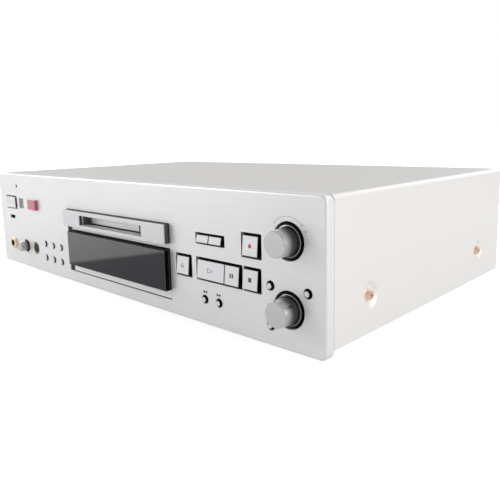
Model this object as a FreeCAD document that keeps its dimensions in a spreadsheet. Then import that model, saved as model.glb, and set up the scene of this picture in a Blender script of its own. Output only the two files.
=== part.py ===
import FreeCAD, Part
import math
import os
import Sketcher
from FreeCAD import Placement, Rotation, Vector

# Full-size minidisc deck, in millimetres.
# X runs along the front from left to right, Y runs into the depth and Z runs up.
# The origin is the middle of the deck's footprint, on the surface that the feet stand on.

# Driving dimensions. Depths are measured behind the front face and heights above the front
# panel's lower edge, so a negative depth stands out in front of the face.
DRIVING = {
    # case
    "case_width": 430.0,
    "case_depth": 258.7,
    "panel_height": 95.0,
    "panel_depth": 7.0,
    "face_thick": 3.0,
    "rim_thick": 3.0,
    "corner_round": 5.0,
    "edge_round": 1.5,
    "foot_drop": 12.0,
    "seam": 0.2,
    # how far a cutting tool runs past the face that it opens
    "overrun": 1.0,
    # sheet metal
    "cover_sheet": 1.2,
    "cover_bend": 4.0,
    "cover_low": 5.3,
    "cover_lip": 9.0,
    "cover_lip_rise": 1.0,
    "tray_sheet": 1.0,
    "tray_flange": 42.0,
    "tray_rear_flange": 11.0,
    "rear_sheet": 1.0,
    "vent_width": 2.6,
    "vent_length": 34.0,
    "vent_pitch": 7.0,
    "vents_y": 146.0,
    # side screws and their pressed dimples
    "dimple_radius": 9.0,
    "dimple_floor": 6.0,
    "dimple_depth": 1.5,
    "top_dimple_radius": 6.5,
    "top_dimple_floor": 5.0,
    "top_dimple_depth": 0.7,
    "top_dimple_from_side": 36.0,
    "top_dimple_y": 30.0,
    "screw_height": 29.6,
    "screw_front_y": 45.0,
    "screw_from_rear": 45.7,
    "screw_head_radius": 3.8,
    "screw_head": 2.6,
    "screw_radius": 1.9,
    "screw_length": 8.0,
    "screw_slack": 0.1,
    "rear_screw_radius": 1.5,
    "rear_screw_head": 2.0,
    "rear_screw_head_radius": 2.8,
    "rear_screw_length": 6.0,
    "screw_inset": 12.0,
    # feet
    "foot_radius": 21.0,
    "foot_sole_step": 3.0,
    "foot_taper": 1.2,
    "foot_from_side": 53.0,
    "foot_front_y": 52.0,
    "foot_from_rear": 44.7,
    "foot_pad": 3.0,
    # inner frame behind the face
    "frame_thick": 2.0,
    "frame_inset": 0.3,
    "boss_radius": 2.4,
    "shelf_reach": 12.0,
    "shelf_thick": 2.0,
    "shelf_rib": 1.5,
    "shelf_rib_tall": 4.0,
    "stem_slack": 0.15,
    "shaft_slack": 0.06,
    # key boards and switches
    "board_gap": 4.0,
    "board_thick": 1.6,
    "board_margin": 5.0,
    "board_low_gap": 2.0,
    "board_block_gap": 4.0,
    "boss_inset_x": 5.0,
    "boss_inset_z": 3.0,
    "board_cut_gap": 1.0,
    "switch_size": 6.0,
    "switch_height": 2.0,
    "plunger_radius": 1.6,
    "plunger_out": 0.6,
    "press_room": 0.1,
    # rectangular keys
    "key_width": 12.9,
    "key_height": 12.8,
    "key_back": 1.4,
    "key_out_top": 0.8,
    "key_out_low": 2.0,
    "key_edge": 0.4,
    "key_travel": 0.8,
    "key_gap_x": 2.2,
    "key_gap_z": 1.7,
    "key_split": 0.5,
    "key_bridge": 3.4,
    "bridge_width": 1.5,
    "bridge_depth": 1.3,
    "opening_round": 0.8,
    "stem_radius": 1.5,
    "play_width": 26.4,
    "transport_from_right": 109.2,
    "transport_height": 39.0,
    "eject_from_right": 122.4,
    "record_from_right": 56.9,
    "record_height": 60.5,
    "pair_from_right": 109.1,
    "pair_height": 60.0,
    "pair_key_width": 11.8,
    "pair_key_height": 5.2,
    "pair_gap_z": 1.4,
    # power key
    "power_from_left": 28.3,
    "power_height": 65.2,
    "power_width": 22.9,
    "power_tall": 11.7,
    "power_gap": 0.9,
    "power_out": 1.4,
    "power_round": 1.2,
    # small round keys
    "dot_radius": 2.4,
    "dot_hole": 3.2,
    "dot_out": 1.3,
    "dot_back": 1.6,
    "dot_edge": 0.5,
    "dot_stem": 1.2,
    "dots_from_left": 98.3,
    "dots_pitch_x": 15.25,
    "dots_high": 28.8,
    "dots_pitch_z": 13.6,
    "skip_from_right": 101.2,
    "skip_pitch": 13.9,
    "skip_height": 18.0,
    "around_x": 14.2,
    "around_z": 12.5,
    # large knobs
    "knob_from_right": 27.3,
    "level_height": 66.8,
    "jog_height": 25.6,
    "well_radius": 11.8,
    "knob_out": 12.8,
    "knob_front_radius": 7.8,
    "knob_base_radius": 8.9,
    "knob_ring_radius": 10.3,
    "knob_ring": 1.2,
    "knob_edge": 0.5,
    "knob_back": 1.2,
    "knob_hub_radius": 4.6,
    "knob_hollow": 2.0,
    "knob_face_thick": 4.0,
    "shaft_radius": 3.0,
    "jog_pin_radius": 2.4,
    "shaft_tip_gap": 0.3,
    "shaft_end_gap": 2.0,
    "jog_travel": 0.8,
    "control_size": 13.0,
    "control_depth": 8.0,
    # sockets and small controls at the left
    "sockets_height": 22.0,
    "phones_from_left": 28.0,
    "phones_bore": 3.25,
    "phones_ring": 6.0,
    "phones_out": 1.8,
    "phones_bevel": 0.8,
    "phones_nose": 0.5,
    "phones_end": 2.0,
    "phones_body": 15.0,
    "phones_length": 28.0,
    "phones_fit": 0.15,
    "small_knob_from_left": 56.2,
    "small_knob_radius": 4.8,
    "small_knob_out": 7.6,
    "small_well": 6.5,
    "small_shaft": 2.0,
    "din_from_left": 77.5,
    "din_radius": 6.2,
    "din_groove": 4.8,
    "din_core": 3.9,
    "din_sunk": 0.3,
    "din_core_sunk": 1.6,
    "din_depth": 6.0,
    "din_length": 12.0,
    "timer_from_left": 28.5,
    "timer_height": 50.0,
    "timer_slack": 0.6,
    "timer_slot_tall": 3.4,
    "timer_lever": 4.2,
    "timer_lever_tall": 2.6,
    "timer_travel": 2.8,
    "timer_out": 0.8,
    "carrier_reach": 2.0,
    "carrier_rise": 1.5,
    "carrier_gap": 0.3,
    "lamp_from_left": 42.5,
    "lamp_from_top": 12.7,
    "lamp_radius": 1.5,
    "lamp_top_radius": 0.9,
    "lamp_out": 0.7,
    "eye_from_left": 51.0,
    "eye_height": 65.2,
    "eye_width": 9.4,
    "eye_tall": 9.6,
    "emblem_from_left": 79.0,
    "emblem_height": 65.6,
    "emblem_width": 16.0,
    "emblem_tall": 9.8,
    "emblem_out": 2.9,
    # display and disc slot block
    "block_from_left": 144.5,
    "block_from_right": 137.5,
    "block_low": 10.3,
    "block_high": 67.0,
    "block_recess": 1.0,
    "block_base": 4.0,
    "block_out": 5.0,
    "block_wall": 2.0,
    "block_flange": 3.0,
    "block_flange_low": 2.0,
    "flange_thick": 1.0,
    "tunnel_wall": 2.0,
    "tunnel_past": 0.2,
    "window_inset": 7.7,
    "window_low": 17.8,
    "window_high": 47.4,
    "window_thick": 3.0,
    "bezel_inset": 2.0,
    "bezel_low": 52.3,
    "bezel_margin": 0.5,
    "bezel_plate": 1.0,
    "trim_thick": 0.8,
    "mouth_left_reach": 39.0,
    "mouth_right_reach": 51.5,
    "mouth_low": 54.9,
    "mouth_high": 63.4,
    "disc_x": -2.0,
    "flap_width": 70.0,
    "flap_tall": 7.2,
    "flap_depth": 5.0,
    "flap_thick": 1.2,
    "flap_gap": 0.5,
    "flap_front_gap": 0.4,
    "hinge_drop": 1.2,
    "pin_radius": 0.7,
    "pin_length": 1.5,
    "pin_end_gap": 0.1,
    "tube_margin": 17.9,
    "tube_tall": 22.0,
    "tube_thick": 5.0,
    "tube_board_low_gap": 3.0,
    "tube_board_high_gap": 4.0,
    # disc mechanism
    "deck_front": 22.0,
    "deck_length": 112.0,
    "deck_half": 51.0,
    "deck_floor": 29.5,
    "deck_high": 66.0,
    "deck_sheet": 1.5,
    "leg_radius": 4.0,
    "leg_inset": 6.0,
    "bracket_sheet": 2.0,
    "bracket_high": 3.0,
    "bracket_front": 3.0,
    "bracket_rear": 4.0,
    "bay_width": 70.0,
    "bay_length": 74.0,
    "bay_tall": 6.0,
    "bay_front": 32.0,
    "bay_height": 55.8,
    "bay_sheet": 1.0,
    "bay_lip": 4.5,
    "bay_drop": 4.5,
    "slide_travel": 18.0,
    "slide_thick": 1.5,
    "slide_low": 46.0,
    "slide_high": 63.5,
    "slide_gap": 1.0,
    "slide_past_front": 8.0,
    "slide_past_rear": 10.0,
    "slide_root": 1.3,
    "tooth_sink": 0.2,
    "guide_pin": 1.5,
    "guide_pin_gap": 0.2,
    "pin_slack": 0.25,
    "pin_first": 14.0,
    "pin_pitch": 44.0,
    "tooth_module": 1.0,
    "tooth_clear": 0.18,
    "gear_width": 3.0,
    "gear_pin": 1.5,
    "gear_pin_past": 2.0,
    "gear_from_bay": 22.0,
    "spindle_y": 76.0,
    "platter_radius": 9.0,
    "platter_high": 52.4,
    "platter_thick": 2.0,
    "cone_radius": 2.4,
    "cone_top": 1.2,
    "cone_high": 1.5,
    "spindle_radius": 1.0,
    "spindle_sink": 4.0,
    "spindle_room": 1.0,
    "motor_radius": 8.0,
    "motor_length": 12.0,
    "load_motor_side": 16.0,
    "load_motor_gap": 3.0,
    "rod_radius": 1.25,
    "rod_height": 44.0,
    "rod_spread": 14.0,
    "rod_start": 11.5,
    "rod_end_gap": 0.1,
    "screw_start_gap": 0.2,
    "sled_start": 13.5,
    "sled_width": 16.0,
    "sled_length": 36.0,
    "sled_tall": 7.0,
    "lens_radius": 2.0,
    "lens_inset": 1.0,
    "lens_gap": 0.4,
    "nut_inset": 4.0,
    "nut_length": 8.0,
    "nut_past": 3.0,
    "screw_shaft": 1.5,
    "screw_y": 98.0,
    # boards, supply and rear sockets
    "main_board_gap": 13.0,
    "main_board_side_gap": 9.3,
    "main_board_front": 40.0,
    "main_board_rear_gap": 17.5,
    "main_board_lift": 12.0,
    "post_inset": 7.0,
    "capacitor_radius": 5.5,
    "capacitor_tall": 16.0,
    "capacitor_pitch": 16.0,
    "capacitor_from_side": 18.0,
    "capacitor_from_rear": 26.0,
    "chip_size": 18.0,
    "chip_tall": 2.2,
    "chip_pitch": 34.0,
    "chip_from_left": 24.0,
    "chip_from_front": 50.0,
    "sink_from_left": 20.0,
    "sink_from_rear": 60.0,
    "sink_width": 50.0,
    "sink_plate": 3.0,
    "sink_fin": 2.0,
    "sink_fin_depth": 9.0,
    "sink_tall": 26.0,
    "core_from_left": 43.0,
    "core_from_rear": 68.7,
    "core_width": 54.0,
    "core_length": 44.0,
    "core_tall": 46.0,
    "core_plate": 1.5,
    "core_ear": 8.0,
    "coil_width": 33.5,
    "coil_low_gap": 10.0,
    "coil_high_gap": 8.0,
    "socket_reach": 9.0,
    "pin_jack_radius": 4.15,
    "pin_jack_bore": 1.6,
    "pin_jack_pitch": 14.5,
    "jack_margin": 1.0,
    "line_from_left": 97.0,
    "line_height": 40.0,
    "jack_flange": 1.2,
    "jack_inside": 12.0,
    "digital_x": -44.0,
    "digital_pitch": 18.0,
    "light_jack": 12.0,
    "light_hole": 7.6,
    "light_recess": 1.6,
    "inlet_from_right": 39.0,
    "inlet_height": 42.0,
    "inlet_width": 26.0,
    "inlet_tall": 17.0,
    "inlet_recess": 12.0,
    "inlet_pitch": 8.6,
    "inlet_lobe": 4.1,
    "inlet_pin": 1.2,
    "inlet_web_inset": 0.6,
    "inlet_pin_inset": 1.0,
}

# Counts of what repeats.
GEAR_TEETH = 12
RACK_TEETH = 9
VENTS = 9
CAPACITORS = 4
CHIPS = 3
SINK_FINS = 6

# Places of the rear screws, as shares of their spread from the middle.
LOW_SCREW_SHARES = (-1, -0.4, 0.4, 1)
HIGH_SCREW_SHARES = (-0.9, 0, 0.9)
LOW_SCREWS = len(LOW_SCREW_SHARES)

# Radius of a pan head's flat top, as a share of the head's radius.
HEAD_TAPER = 0.72

# Tooth shape: a rack tooth's half widths and height and a gear tooth's depths in modules,
# then the gear tooth's half widths as shares of its pitch angle.
RACK_ROOT_HALF = 1.05
RACK_TIP_HALF = 0.38
RACK_TOOTH_HIGH = 0.9
GEAR_ROOT = 1.2
GEAR_TIP = 0.95
GEAR_ROOT_SHARE = 0.34
GEAR_TIP_SHARE = 0.11

doc = FreeCAD.newDocument("minidisc_deck")
sheet = doc.addObject("Spreadsheet::Sheet", "Sizes")


class Size:
    """A length of the sheet, or a formula of such lengths, as a number and as its text."""

    def __init__(self, value, text):
        self.value = float(value)
        self.text = text

    def __add__(self, other):
        return joined(self, "+", other)

    def __radd__(self, other):
        return joined(other, "+", self)

    def __sub__(self, other):
        return joined(self, "-", other)

    def __rsub__(self, other):
        return joined(other, "-", self)

    def __mul__(self, other):
        return joined(self, "*", other)

    def __rmul__(self, other):
        return joined(other, "*", self)

    def __truediv__(self, other):
        return joined(self, "/", other)

    def __neg__(self):
        return joined(0.0, "-", self)


def as_size(number):
    """Give a plain number the form of a Size."""
    if isinstance(number, Size):
        return number
    return Size(number, f"({float(number):.9g})")


def joined(left, sign, right):
    """Join two lengths by one sign, in the number and in the text alike."""
    left = as_size(left)
    right = as_size(right)
    values = {
        "+": left.value + right.value,
        "-": left.value - right.value,
        "*": left.value * right.value,
        "/": left.value / right.value if right.value else 0.0,
    }
    return Size(values[sign], f"({left.text} {sign} {right.text})")


class Sheet:
    """The driving dimensions, each read by its alias."""

    def __getattr__(self, alias):
        return Size(DRIVING[alias], f"Sizes.{alias}")


for row, (alias, number) in enumerate(DRIVING.items(), start=1):
    sheet.set(f"A{row}", alias)
    sheet.set(f"B{row}", str(number))
    sheet.setAlias(f"B{row}", alias)
doc.recompute()
S = Sheet()

# Reference planes of the deck, from the driving dimensions.
half_width = S.case_width / 2
case_back = S.case_depth - S.cover_sheet
face_y = S.knob_out - (S.knob_out + case_back + S.socket_reach) / 2
panel_z = S.foot_drop
rear_y = face_y + case_back
tray_z = panel_z + S.cover_low - S.tray_sheet
tray_half = half_width - S.cover_sheet - S.dimple_depth
frame_front = S.face_thick
frame_back = frame_front + S.frame_thick
board_front = frame_back + S.board_gap
board_back = board_front + S.board_thick
key_stem_end = board_front - S.switch_height - S.key_travel - S.press_room

# Places along the front and the rear, counted from the case's ends.
power_x = S.power_from_left - half_width
phones_x = S.phones_from_left - half_width
small_knob_x = S.small_knob_from_left - half_width
din_x = S.din_from_left - half_width
timer_x = S.timer_from_left - half_width
timer_reach = S.timer_lever / 2 + S.timer_travel + S.timer_slack
lamp_x = S.lamp_from_left - half_width
lamp_height = S.panel_height - S.lamp_from_top
eye_x = S.eye_from_left - half_width
emblem_x = S.emblem_from_left - half_width
dots_x = S.dots_from_left - half_width
block_left = S.block_from_left - half_width
block_right = half_width - S.block_from_right
eject_x = half_width - S.eject_from_right
transport_left = half_width - S.transport_from_right
pair_left = half_width - S.pair_from_right
skip_x = half_width - S.skip_from_right
record_x = half_width - S.record_from_right
knob_x = half_width - S.knob_from_right
line_x = S.line_from_left - half_width
inlet_x = half_width - S.inlet_from_right
foot_x = half_width - S.foot_from_side
foot_rear_y = S.case_depth - S.foot_from_rear
screw_rear_y = S.case_depth - S.screw_from_rear
top_dimple_x = half_width - S.top_dimple_from_side
window_left = block_left + S.window_inset
bezel_left = block_left + S.bezel_inset
mouth_left = S.disc_x - S.mouth_left_reach
mouth_right = S.disc_x + S.mouth_right_reach
deck_right = S.disc_x + S.deck_half
main_board_left = deck_right + S.main_board_gap
main_board_right = tray_half - S.main_board_side_gap
main_board_rear = case_back - S.main_board_rear_gap
core_x = S.core_from_left - half_width
core_y = S.case_depth - S.core_from_rear


def depth(distance):
    """Y of a point that far behind the front face."""
    return face_y + distance


def height(distance):
    """Z of a point that far above the front panel's lower edge."""
    return panel_z + distance


def bind(thing, name, size):
    """Set a property to a length and keep it tied to the sheet."""
    size = as_size(size)
    if not name.startswith(("Placement", "AttachmentOffset", "Constraints")):
        setattr(thing, name, size.value)
    thing.setExpression(name, size.text)


def place(thing, x, y, z):
    """Tie a piece's position to the sheet."""
    bind(thing, "Placement.Base.x", x)
    bind(thing, "Placement.Base.y", y)
    bind(thing, "Placement.Base.z", z)
    return thing


def named(thing, label):
    """Give a finished piece the name of its node."""
    thing.Label = label
    return thing


def box(x, y, z):
    """A block between two planes in each direction."""
    block = doc.addObject("Part::Box", "Block")
    for name, (low, high) in zip(("Length", "Width", "Height"), (x, y, z)):
        bind(block, name, as_size(high) - low)
    return place(block, x[0], y[0], z[0])


TURN = {
    "X": Rotation(Vector(0, 1, 0), 90),
    "Y": Rotation(Vector(1, 0, 0), -90),
    "Z": Rotation(),
}


def along(axis, across, start):
    """Position of a round piece's start, from its two cross coordinates and its start."""
    first, second = across
    if axis == "X":
        return start, first, second
    if axis == "Y":
        return first, start, second
    return first, second, start


def rod(axis, across, radius, span):
    """A round bar along one axis, from the first plane of its span to the second."""
    bar = doc.addObject("Part::Cylinder", "Bar")
    bar.Placement = Placement(Vector(), TURN[axis])
    bind(bar, "Radius", radius)
    bind(bar, "Height", as_size(span[1]) - span[0])
    return place(bar, *along(axis, across, span[0]))


def cone(axis, across, radii, span):
    """A round bar that changes its radius along its span."""
    bar = doc.addObject("Part::Cone", "Cone")
    bar.Placement = Placement(Vector(), TURN[axis])
    bind(bar, "Radius1", radii[0])
    bind(bar, "Radius2", radii[1])
    bind(bar, "Height", as_size(span[1]) - span[0])
    return place(bar, *along(axis, across, span[0]))


def fuse(pieces):
    """One solid of several that touch or cross."""
    union = doc.addObject("Part::MultiFuse", "Union")
    union.Shapes = pieces
    return union


def group(pieces):
    """Separate solids that share one node."""
    collection = doc.addObject("Part::Compound", "Group")
    collection.Links = pieces
    return collection


def cut(base, tools):
    """A piece with the tools taken out of it."""
    rest = doc.addObject("Part::Cut", "Rest")
    rest.Base = base
    rest.Tool = tools[0] if len(tools) == 1 else fuse(tools)
    return rest


def new_body(label):
    """An empty body for sketched features."""
    body = doc.addObject("PartDesign::Body", "Body")
    body.Label = label
    return body


def sketch_on(body, role, offset):
    """A sketch on one of the body's origin planes, moved along that plane's normal."""
    plane = next(item for item in body.Origin.OriginFeatures if item.Role == role)
    sketch = body.newObject("Sketcher::SketchObject", "Sketch")
    sketch.AttachmentSupport = [(plane, "")]
    sketch.MapMode = "FlatFace"
    offset = as_size(offset)
    sketch.AttachmentOffset = Placement(Vector(0, 0, offset.value), Rotation())
    bind(sketch, "AttachmentOffset.Base.z", offset)
    return sketch


def pin_point(sketch, item, end, point):
    """Tie one point of a sketch to its two coordinates."""
    for name, size in zip(("DistanceX", "DistanceY"), point):
        size = as_size(size)
        rule = Sketcher.Constraint(name, -1, 1, item, end, size.value)
        bind(sketch, f"Constraints[{sketch.addConstraint(rule)}]", size)


def outline(sketch, points):
    """A closed outline of straight lines through the points."""
    points = [(as_size(first), as_size(second)) for first, second in points]
    count = len(points)
    lines = []
    for start, end in zip(points, points[1:] + points[:1]):
        line = Part.LineSegment(
            Vector(start[0].value, start[1].value, 0), Vector(end[0].value, end[1].value, 0))
        lines.append(sketch.addGeometry(line, False))
    for index in range(count):
        following = lines[(index + 1) % count]
        sketch.addConstraint(Sketcher.Constraint("Coincident", lines[index], 2, following, 1))
    for line, point in zip(lines, points):
        pin_point(sketch, line, 1, point)


def rectangle(sketch, x, z):
    """A rectangle between two limits across and two limits up the sketch."""
    outline(sketch, [(x[0], z[0]), (x[1], z[0]), (x[1], z[1]), (x[0], z[1])])


def circle(sketch, centre, radius):
    """A full circle with its centre and radius tied to the sheet."""
    centre = [as_size(value) for value in centre]
    radius = as_size(radius)
    ring = sketch.addGeometry(
        Part.Circle(Vector(centre[0].value, centre[1].value, 0), Vector(0, 0, 1), radius.value), False)
    pin_point(sketch, ring, 3, centre)
    rule = sketch.addConstraint(Sketcher.Constraint("Radius", ring, radius.value))
    bind(sketch, f"Constraints[{rule}]", radius)


def pad(body, sketch, length, towards_normal=True):
    """Material that grows from a sketch."""
    feature = body.newObject("PartDesign::Pad", "Pad")
    feature.Profile = sketch
    bind(feature, "Length", length)
    feature.Reversed = not towards_normal
    return feature


def pocket(body, sketch, length, against_normal=True):
    """Material taken out below a sketch."""
    feature = body.newObject("PartDesign::Pocket", "Pocket")
    feature.Profile = sketch
    bind(feature, "Length", length)
    feature.Reversed = not against_normal
    return feature


def spin(body, sketch):
    """Turn a profile once round the sketch's vertical axis."""
    feature = body.newObject("PartDesign::Revolution", "Revolution")
    feature.Profile = sketch
    feature.ReferenceAxis = (sketch, ["V_Axis"])
    feature.Angle = 360
    return feature


def edge_names(shape, wanted):
    """Names of the edges that the test picks."""
    return [f"Edge{index}" for index, edge in enumerate(shape.Edges, start=1) if wanted(edge)]


def soften(body, kind, size, wanted):
    """Round or bevel the picked edges of a body's last shape."""
    doc.recompute()
    base = body.Tip
    feature = body.newObject(f"PartDesign::{kind}", kind)
    feature.Base = (base, edge_names(base.Shape, wanted))
    bind(feature, "Radius" if kind == "Fillet" else "Size", size)
    return feature


NEAR = 1e-4


def runs_along(edge, axis):
    """Whether an edge is a straight line along X (0), Y (1) or Z (2)."""
    if edge.Curve.TypeId != "Part::GeomLine":
        return False
    direction = edge.Curve.Direction
    return abs(abs((direction.x, direction.y, direction.z)[axis]) - 1) < NEAR


def lies_at(edge, axis, value):
    """Whether all of an edge lies in the plane at that value of X, Y or Z."""
    bounds = edge.BoundBox
    low = (bounds.XMin, bounds.YMin, bounds.ZMin)[axis]
    high = (bounds.XMax, bounds.YMax, bounds.ZMax)[axis]
    return abs(low - value) < NEAR and abs(high - value) < NEAR


def round_key_places():
    """Places of the round keys, each as its X and its height."""
    places = {}
    for row in range(2):
        for column in range(3):
            label = f"function_button_{3 * row + column + 1}"
            places[label] = (dots_x + S.dots_pitch_x * column, S.dots_high - S.dots_pitch_z * row)
    places["rewind_button"] = (skip_x, S.skip_height)
    places["forward_button"] = (skip_x + S.skip_pitch, S.skip_height)
    places["menu_button"] = (knob_x - S.around_x, S.jog_height + S.around_z)
    places["yes_button"] = (knob_x + S.around_x, S.jog_height + S.around_z)
    places["clear_button"] = (knob_x - S.around_x, S.jog_height - S.around_z)
    return places


play_left = transport_left + S.key_gap_x
pause_left = play_left + S.play_width + S.key_split
stop_left = pause_left + S.key_width + S.key_bridge
transport_right = stop_left + S.key_width + S.key_gap_x
pair_second = pair_left + S.key_gap_x + S.pair_key_width + S.key_split
pair_right = pair_second + S.pair_key_width + S.key_gap_x

# Places of the tilted rectangular keys: left edge, middle height, width and height.
KEY_PLACES = {
    "eject_button": (eject_x - S.key_width / 2, S.transport_height, S.key_width, S.key_height),
    "play_button": (play_left, S.transport_height, S.play_width, S.key_height),
    "pause_button": (pause_left, S.transport_height, S.key_width, S.key_height),
    "stop_button": (stop_left, S.transport_height, S.key_width, S.key_height),
    "record_button": (record_x - S.key_width / 2, S.record_height, S.key_width, S.key_height),
    "record_mode_button": (
        pair_left + S.key_gap_x, S.pair_height, S.pair_key_width, S.pair_key_height),
    "input_button": (pair_second, S.pair_height, S.pair_key_width, S.pair_key_height),
}
ROUND_PLACES = round_key_places()


def all_key_centres():
    """Every key's centre, for the stem holes and the switches behind them."""
    centres = {label: spot for label, spot in ROUND_PLACES.items()}
    for label, (left, middle, width, _) in KEY_PLACES.items():
        centres[label] = (left + width / 2, middle)
    centres["power_button"] = (power_x, S.power_height)
    return centres


KEY_CENTRES = all_key_centres()


def key_openings():
    """The keys' square wells with softened corners, as spans in X and in height."""
    key_rise = S.key_height / 2 + S.key_gap_z
    pair_rise = S.pair_key_height / 2 + S.pair_gap_z
    key_reach = S.key_width / 2 + S.key_gap_x
    power_reach = S.power_width / 2 + S.power_gap
    power_rise = S.power_tall / 2 + S.power_gap
    key_span = (S.transport_height - key_rise, S.transport_height + key_rise)
    return [
        ((power_x - power_reach, power_x + power_reach),
         (S.power_height - power_rise, S.power_height + power_rise)),
        ((eject_x - key_reach, eject_x + key_reach), key_span),
        ((transport_left, transport_right), key_span),
        ((record_x - key_reach, record_x + key_reach),
         (S.record_height - key_rise, S.record_height + key_rise)),
        ((pair_left, pair_right), (S.pair_height - pair_rise, S.pair_height + pair_rise)),
    ]


def sharp_openings():
    """Openings of the sensor window, the timer slot and the display block."""
    eye_reach = S.eye_width / 2 + S.seam
    eye_rise = S.eye_tall / 2 + S.seam
    return [
        ((eye_x - eye_reach, eye_x + eye_reach),
         (S.eye_height - eye_rise, S.eye_height + eye_rise)),
        ((timer_x - timer_reach, timer_x + timer_reach),
         (S.timer_height - S.timer_slot_tall / 2, S.timer_height + S.timer_slot_tall / 2)),
        ((block_left, block_right), (S.block_low, S.block_high)),
    ]


def round_openings():
    """Round openings of the face, as centre and radius."""
    rounds = [(spot, S.dot_hole) for spot in ROUND_PLACES.values()]
    rounds += [((knob_x, rise), S.well_radius) for rise in (S.level_height, S.jog_height)]
    rounds.append(((small_knob_x, S.sockets_height), S.small_well))
    rounds.append(((phones_x, S.sockets_height), S.phones_ring + S.phones_fit))
    rounds.append(((din_x, S.sockets_height), S.din_radius + S.phones_fit))
    rounds.append(((lamp_x, lamp_height), S.lamp_radius + S.seam))
    return rounds


def make_front_panel():
    """Shallow aluminium tray with rounded corners and one opening for each control."""
    body = new_body("front_panel")
    blank = sketch_on(body, "XZ_Plane", -face_y)
    rectangle(blank, (-half_width, half_width), (panel_z, height(S.panel_height)))
    pad(body, blank, S.panel_depth, towards_normal=False)
    soften(body, "Fillet", S.corner_round, lambda edge: runs_along(edge, 1))
    soften(body, "Fillet", S.edge_round, lambda edge: lies_at(edge, 1, face_y.value))
    hollow = sketch_on(body, "XZ_Plane", -depth(S.panel_depth))
    rectangle(hollow, (S.rim_thick - half_width, half_width - S.rim_thick),
              (height(S.rim_thick), height(S.panel_height - S.rim_thick)))
    pocket(body, hollow, S.panel_depth - S.face_thick, against_normal=False)
    wells = sketch_on(body, "XZ_Plane", -face_y)
    for x, spans in key_openings():
        rectangle(wells, x, (height(spans[0]), height(spans[1])))
    pocket(body, wells, S.face_thick)
    inside = (half_width - S.rim_thick - S.corner_round).value
    soften(body, "Fillet", S.opening_round,
           lambda edge: runs_along(edge, 1) and abs(edge.BoundBox.Center.x) < inside)
    openings = sketch_on(body, "XZ_Plane", -face_y)
    for x, spans in sharp_openings():
        rectangle(openings, x, (height(spans[0]), height(spans[1])))
    for (x, rise), radius in round_openings():
        circle(openings, (x, height(rise)), radius)
    pocket(body, openings, S.face_thick)
    bridge = sketch_on(body, "XZ_Plane", -depth(S.face_thick))
    bridge_x = stop_left - S.key_bridge / 2
    rise = S.key_height / 2 + S.key_gap_z
    rectangle(bridge, (bridge_x - S.bridge_width / 2, bridge_x + S.bridge_width / 2),
              (height(S.transport_height - rise), height(S.transport_height + rise)))
    pad(body, bridge, S.face_thick - S.bridge_depth)


def side_screw_places():
    """The cover's side screws, as the side's sign and the depth behind the face."""
    return [(side, screw_y) for side in (-1, 1) for screw_y in (S.screw_front_y, screw_rear_y)]


def make_top_cover():
    """Bent sheet over the top and both sides, with pressed dimples and a rear lip."""
    body = new_body("cover_sheet")
    inner_half = half_width - S.cover_sheet
    top = height(S.panel_height)
    inner_top = top - S.cover_sheet
    low = height(S.cover_low)
    profile = sketch_on(body, "XZ_Plane", -depth(S.panel_depth + S.seam))
    outline(profile, [
        (-half_width, low), (-half_width, top), (half_width, top), (half_width, low),
        (inner_half, low), (inner_half, inner_top), (-inner_half, inner_top), (-inner_half, low)])
    pad(body, profile, S.case_depth - S.panel_depth - S.seam, towards_normal=False)
    soften(body, "Fillet", S.cover_bend,
           lambda edge: runs_along(edge, 1) and lies_at(edge, 2, top.value))
    soften(body, "Fillet", S.cover_bend - S.cover_sheet,
           lambda edge: runs_along(edge, 1) and lies_at(edge, 2, inner_top.value))
    lip = box((-inner_half + S.cover_bend, inner_half - S.cover_bend),
              (depth(S.case_depth - S.cover_sheet), depth(S.case_depth)),
              (inner_top - S.cover_lip, inner_top))
    cups = []
    hollows = []
    for side, screw_y in side_screw_places():
        across = (depth(screw_y), height(S.screw_height))
        outer = half_width * side
        inner = (half_width - S.dimple_depth) * side
        skin = S.cover_sheet * side
        radii = (S.dimple_radius, S.dimple_floor)
        if side > 0:
            cups.append(cone("X", across, radii[::-1], (inner - skin, outer - skin)))
            hollows.append(cone("X", across, radii[::-1], (inner, outer)))
        else:
            cups.append(cone("X", across, radii, (outer - skin, inner - skin)))
            hollows.append(cone("X", across, radii, (outer, inner)))
        hole = sorted((inner - skin * 2, outer), key=lambda size: size.value)
        hollows.append(rod("X", across, S.screw_radius + S.screw_slack, hole))
    for side in (-1, 1):
        across = (top_dimple_x * side, depth(S.top_dimple_y))
        radii = (S.top_dimple_floor, S.top_dimple_radius)
        floor = top - S.top_dimple_depth
        cups.append(cone("Z", across, radii, (floor - S.cover_sheet, top - S.cover_sheet)))
        hollows.append(cone("Z", across, radii, (floor, top)))
    for x, rise in rear_screw_places()[LOW_SCREWS:]:
        hollows.append(rod("Y", (x, height(rise)), S.rear_screw_radius + S.screw_slack,
                           (rear_y - S.overrun, rear_y + S.cover_sheet + S.overrun)))
    named(cut(fuse([body, lip] + cups), hollows), "top_cover")


def rear_screw_places():
    """Screws of the rear panel as X and height: the low row into the tray, then the high row."""
    low = S.cover_low + S.screw_inset / 2
    high = S.panel_height - S.cover_sheet - S.cover_lip / 2 - S.cover_lip_rise
    spread = tray_half - S.screw_inset
    low_row = [(spread * share, low) for share in LOW_SCREW_SHARES]
    return low_row + [(spread * share, high) for share in HIGH_SCREW_SHARES]


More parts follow.
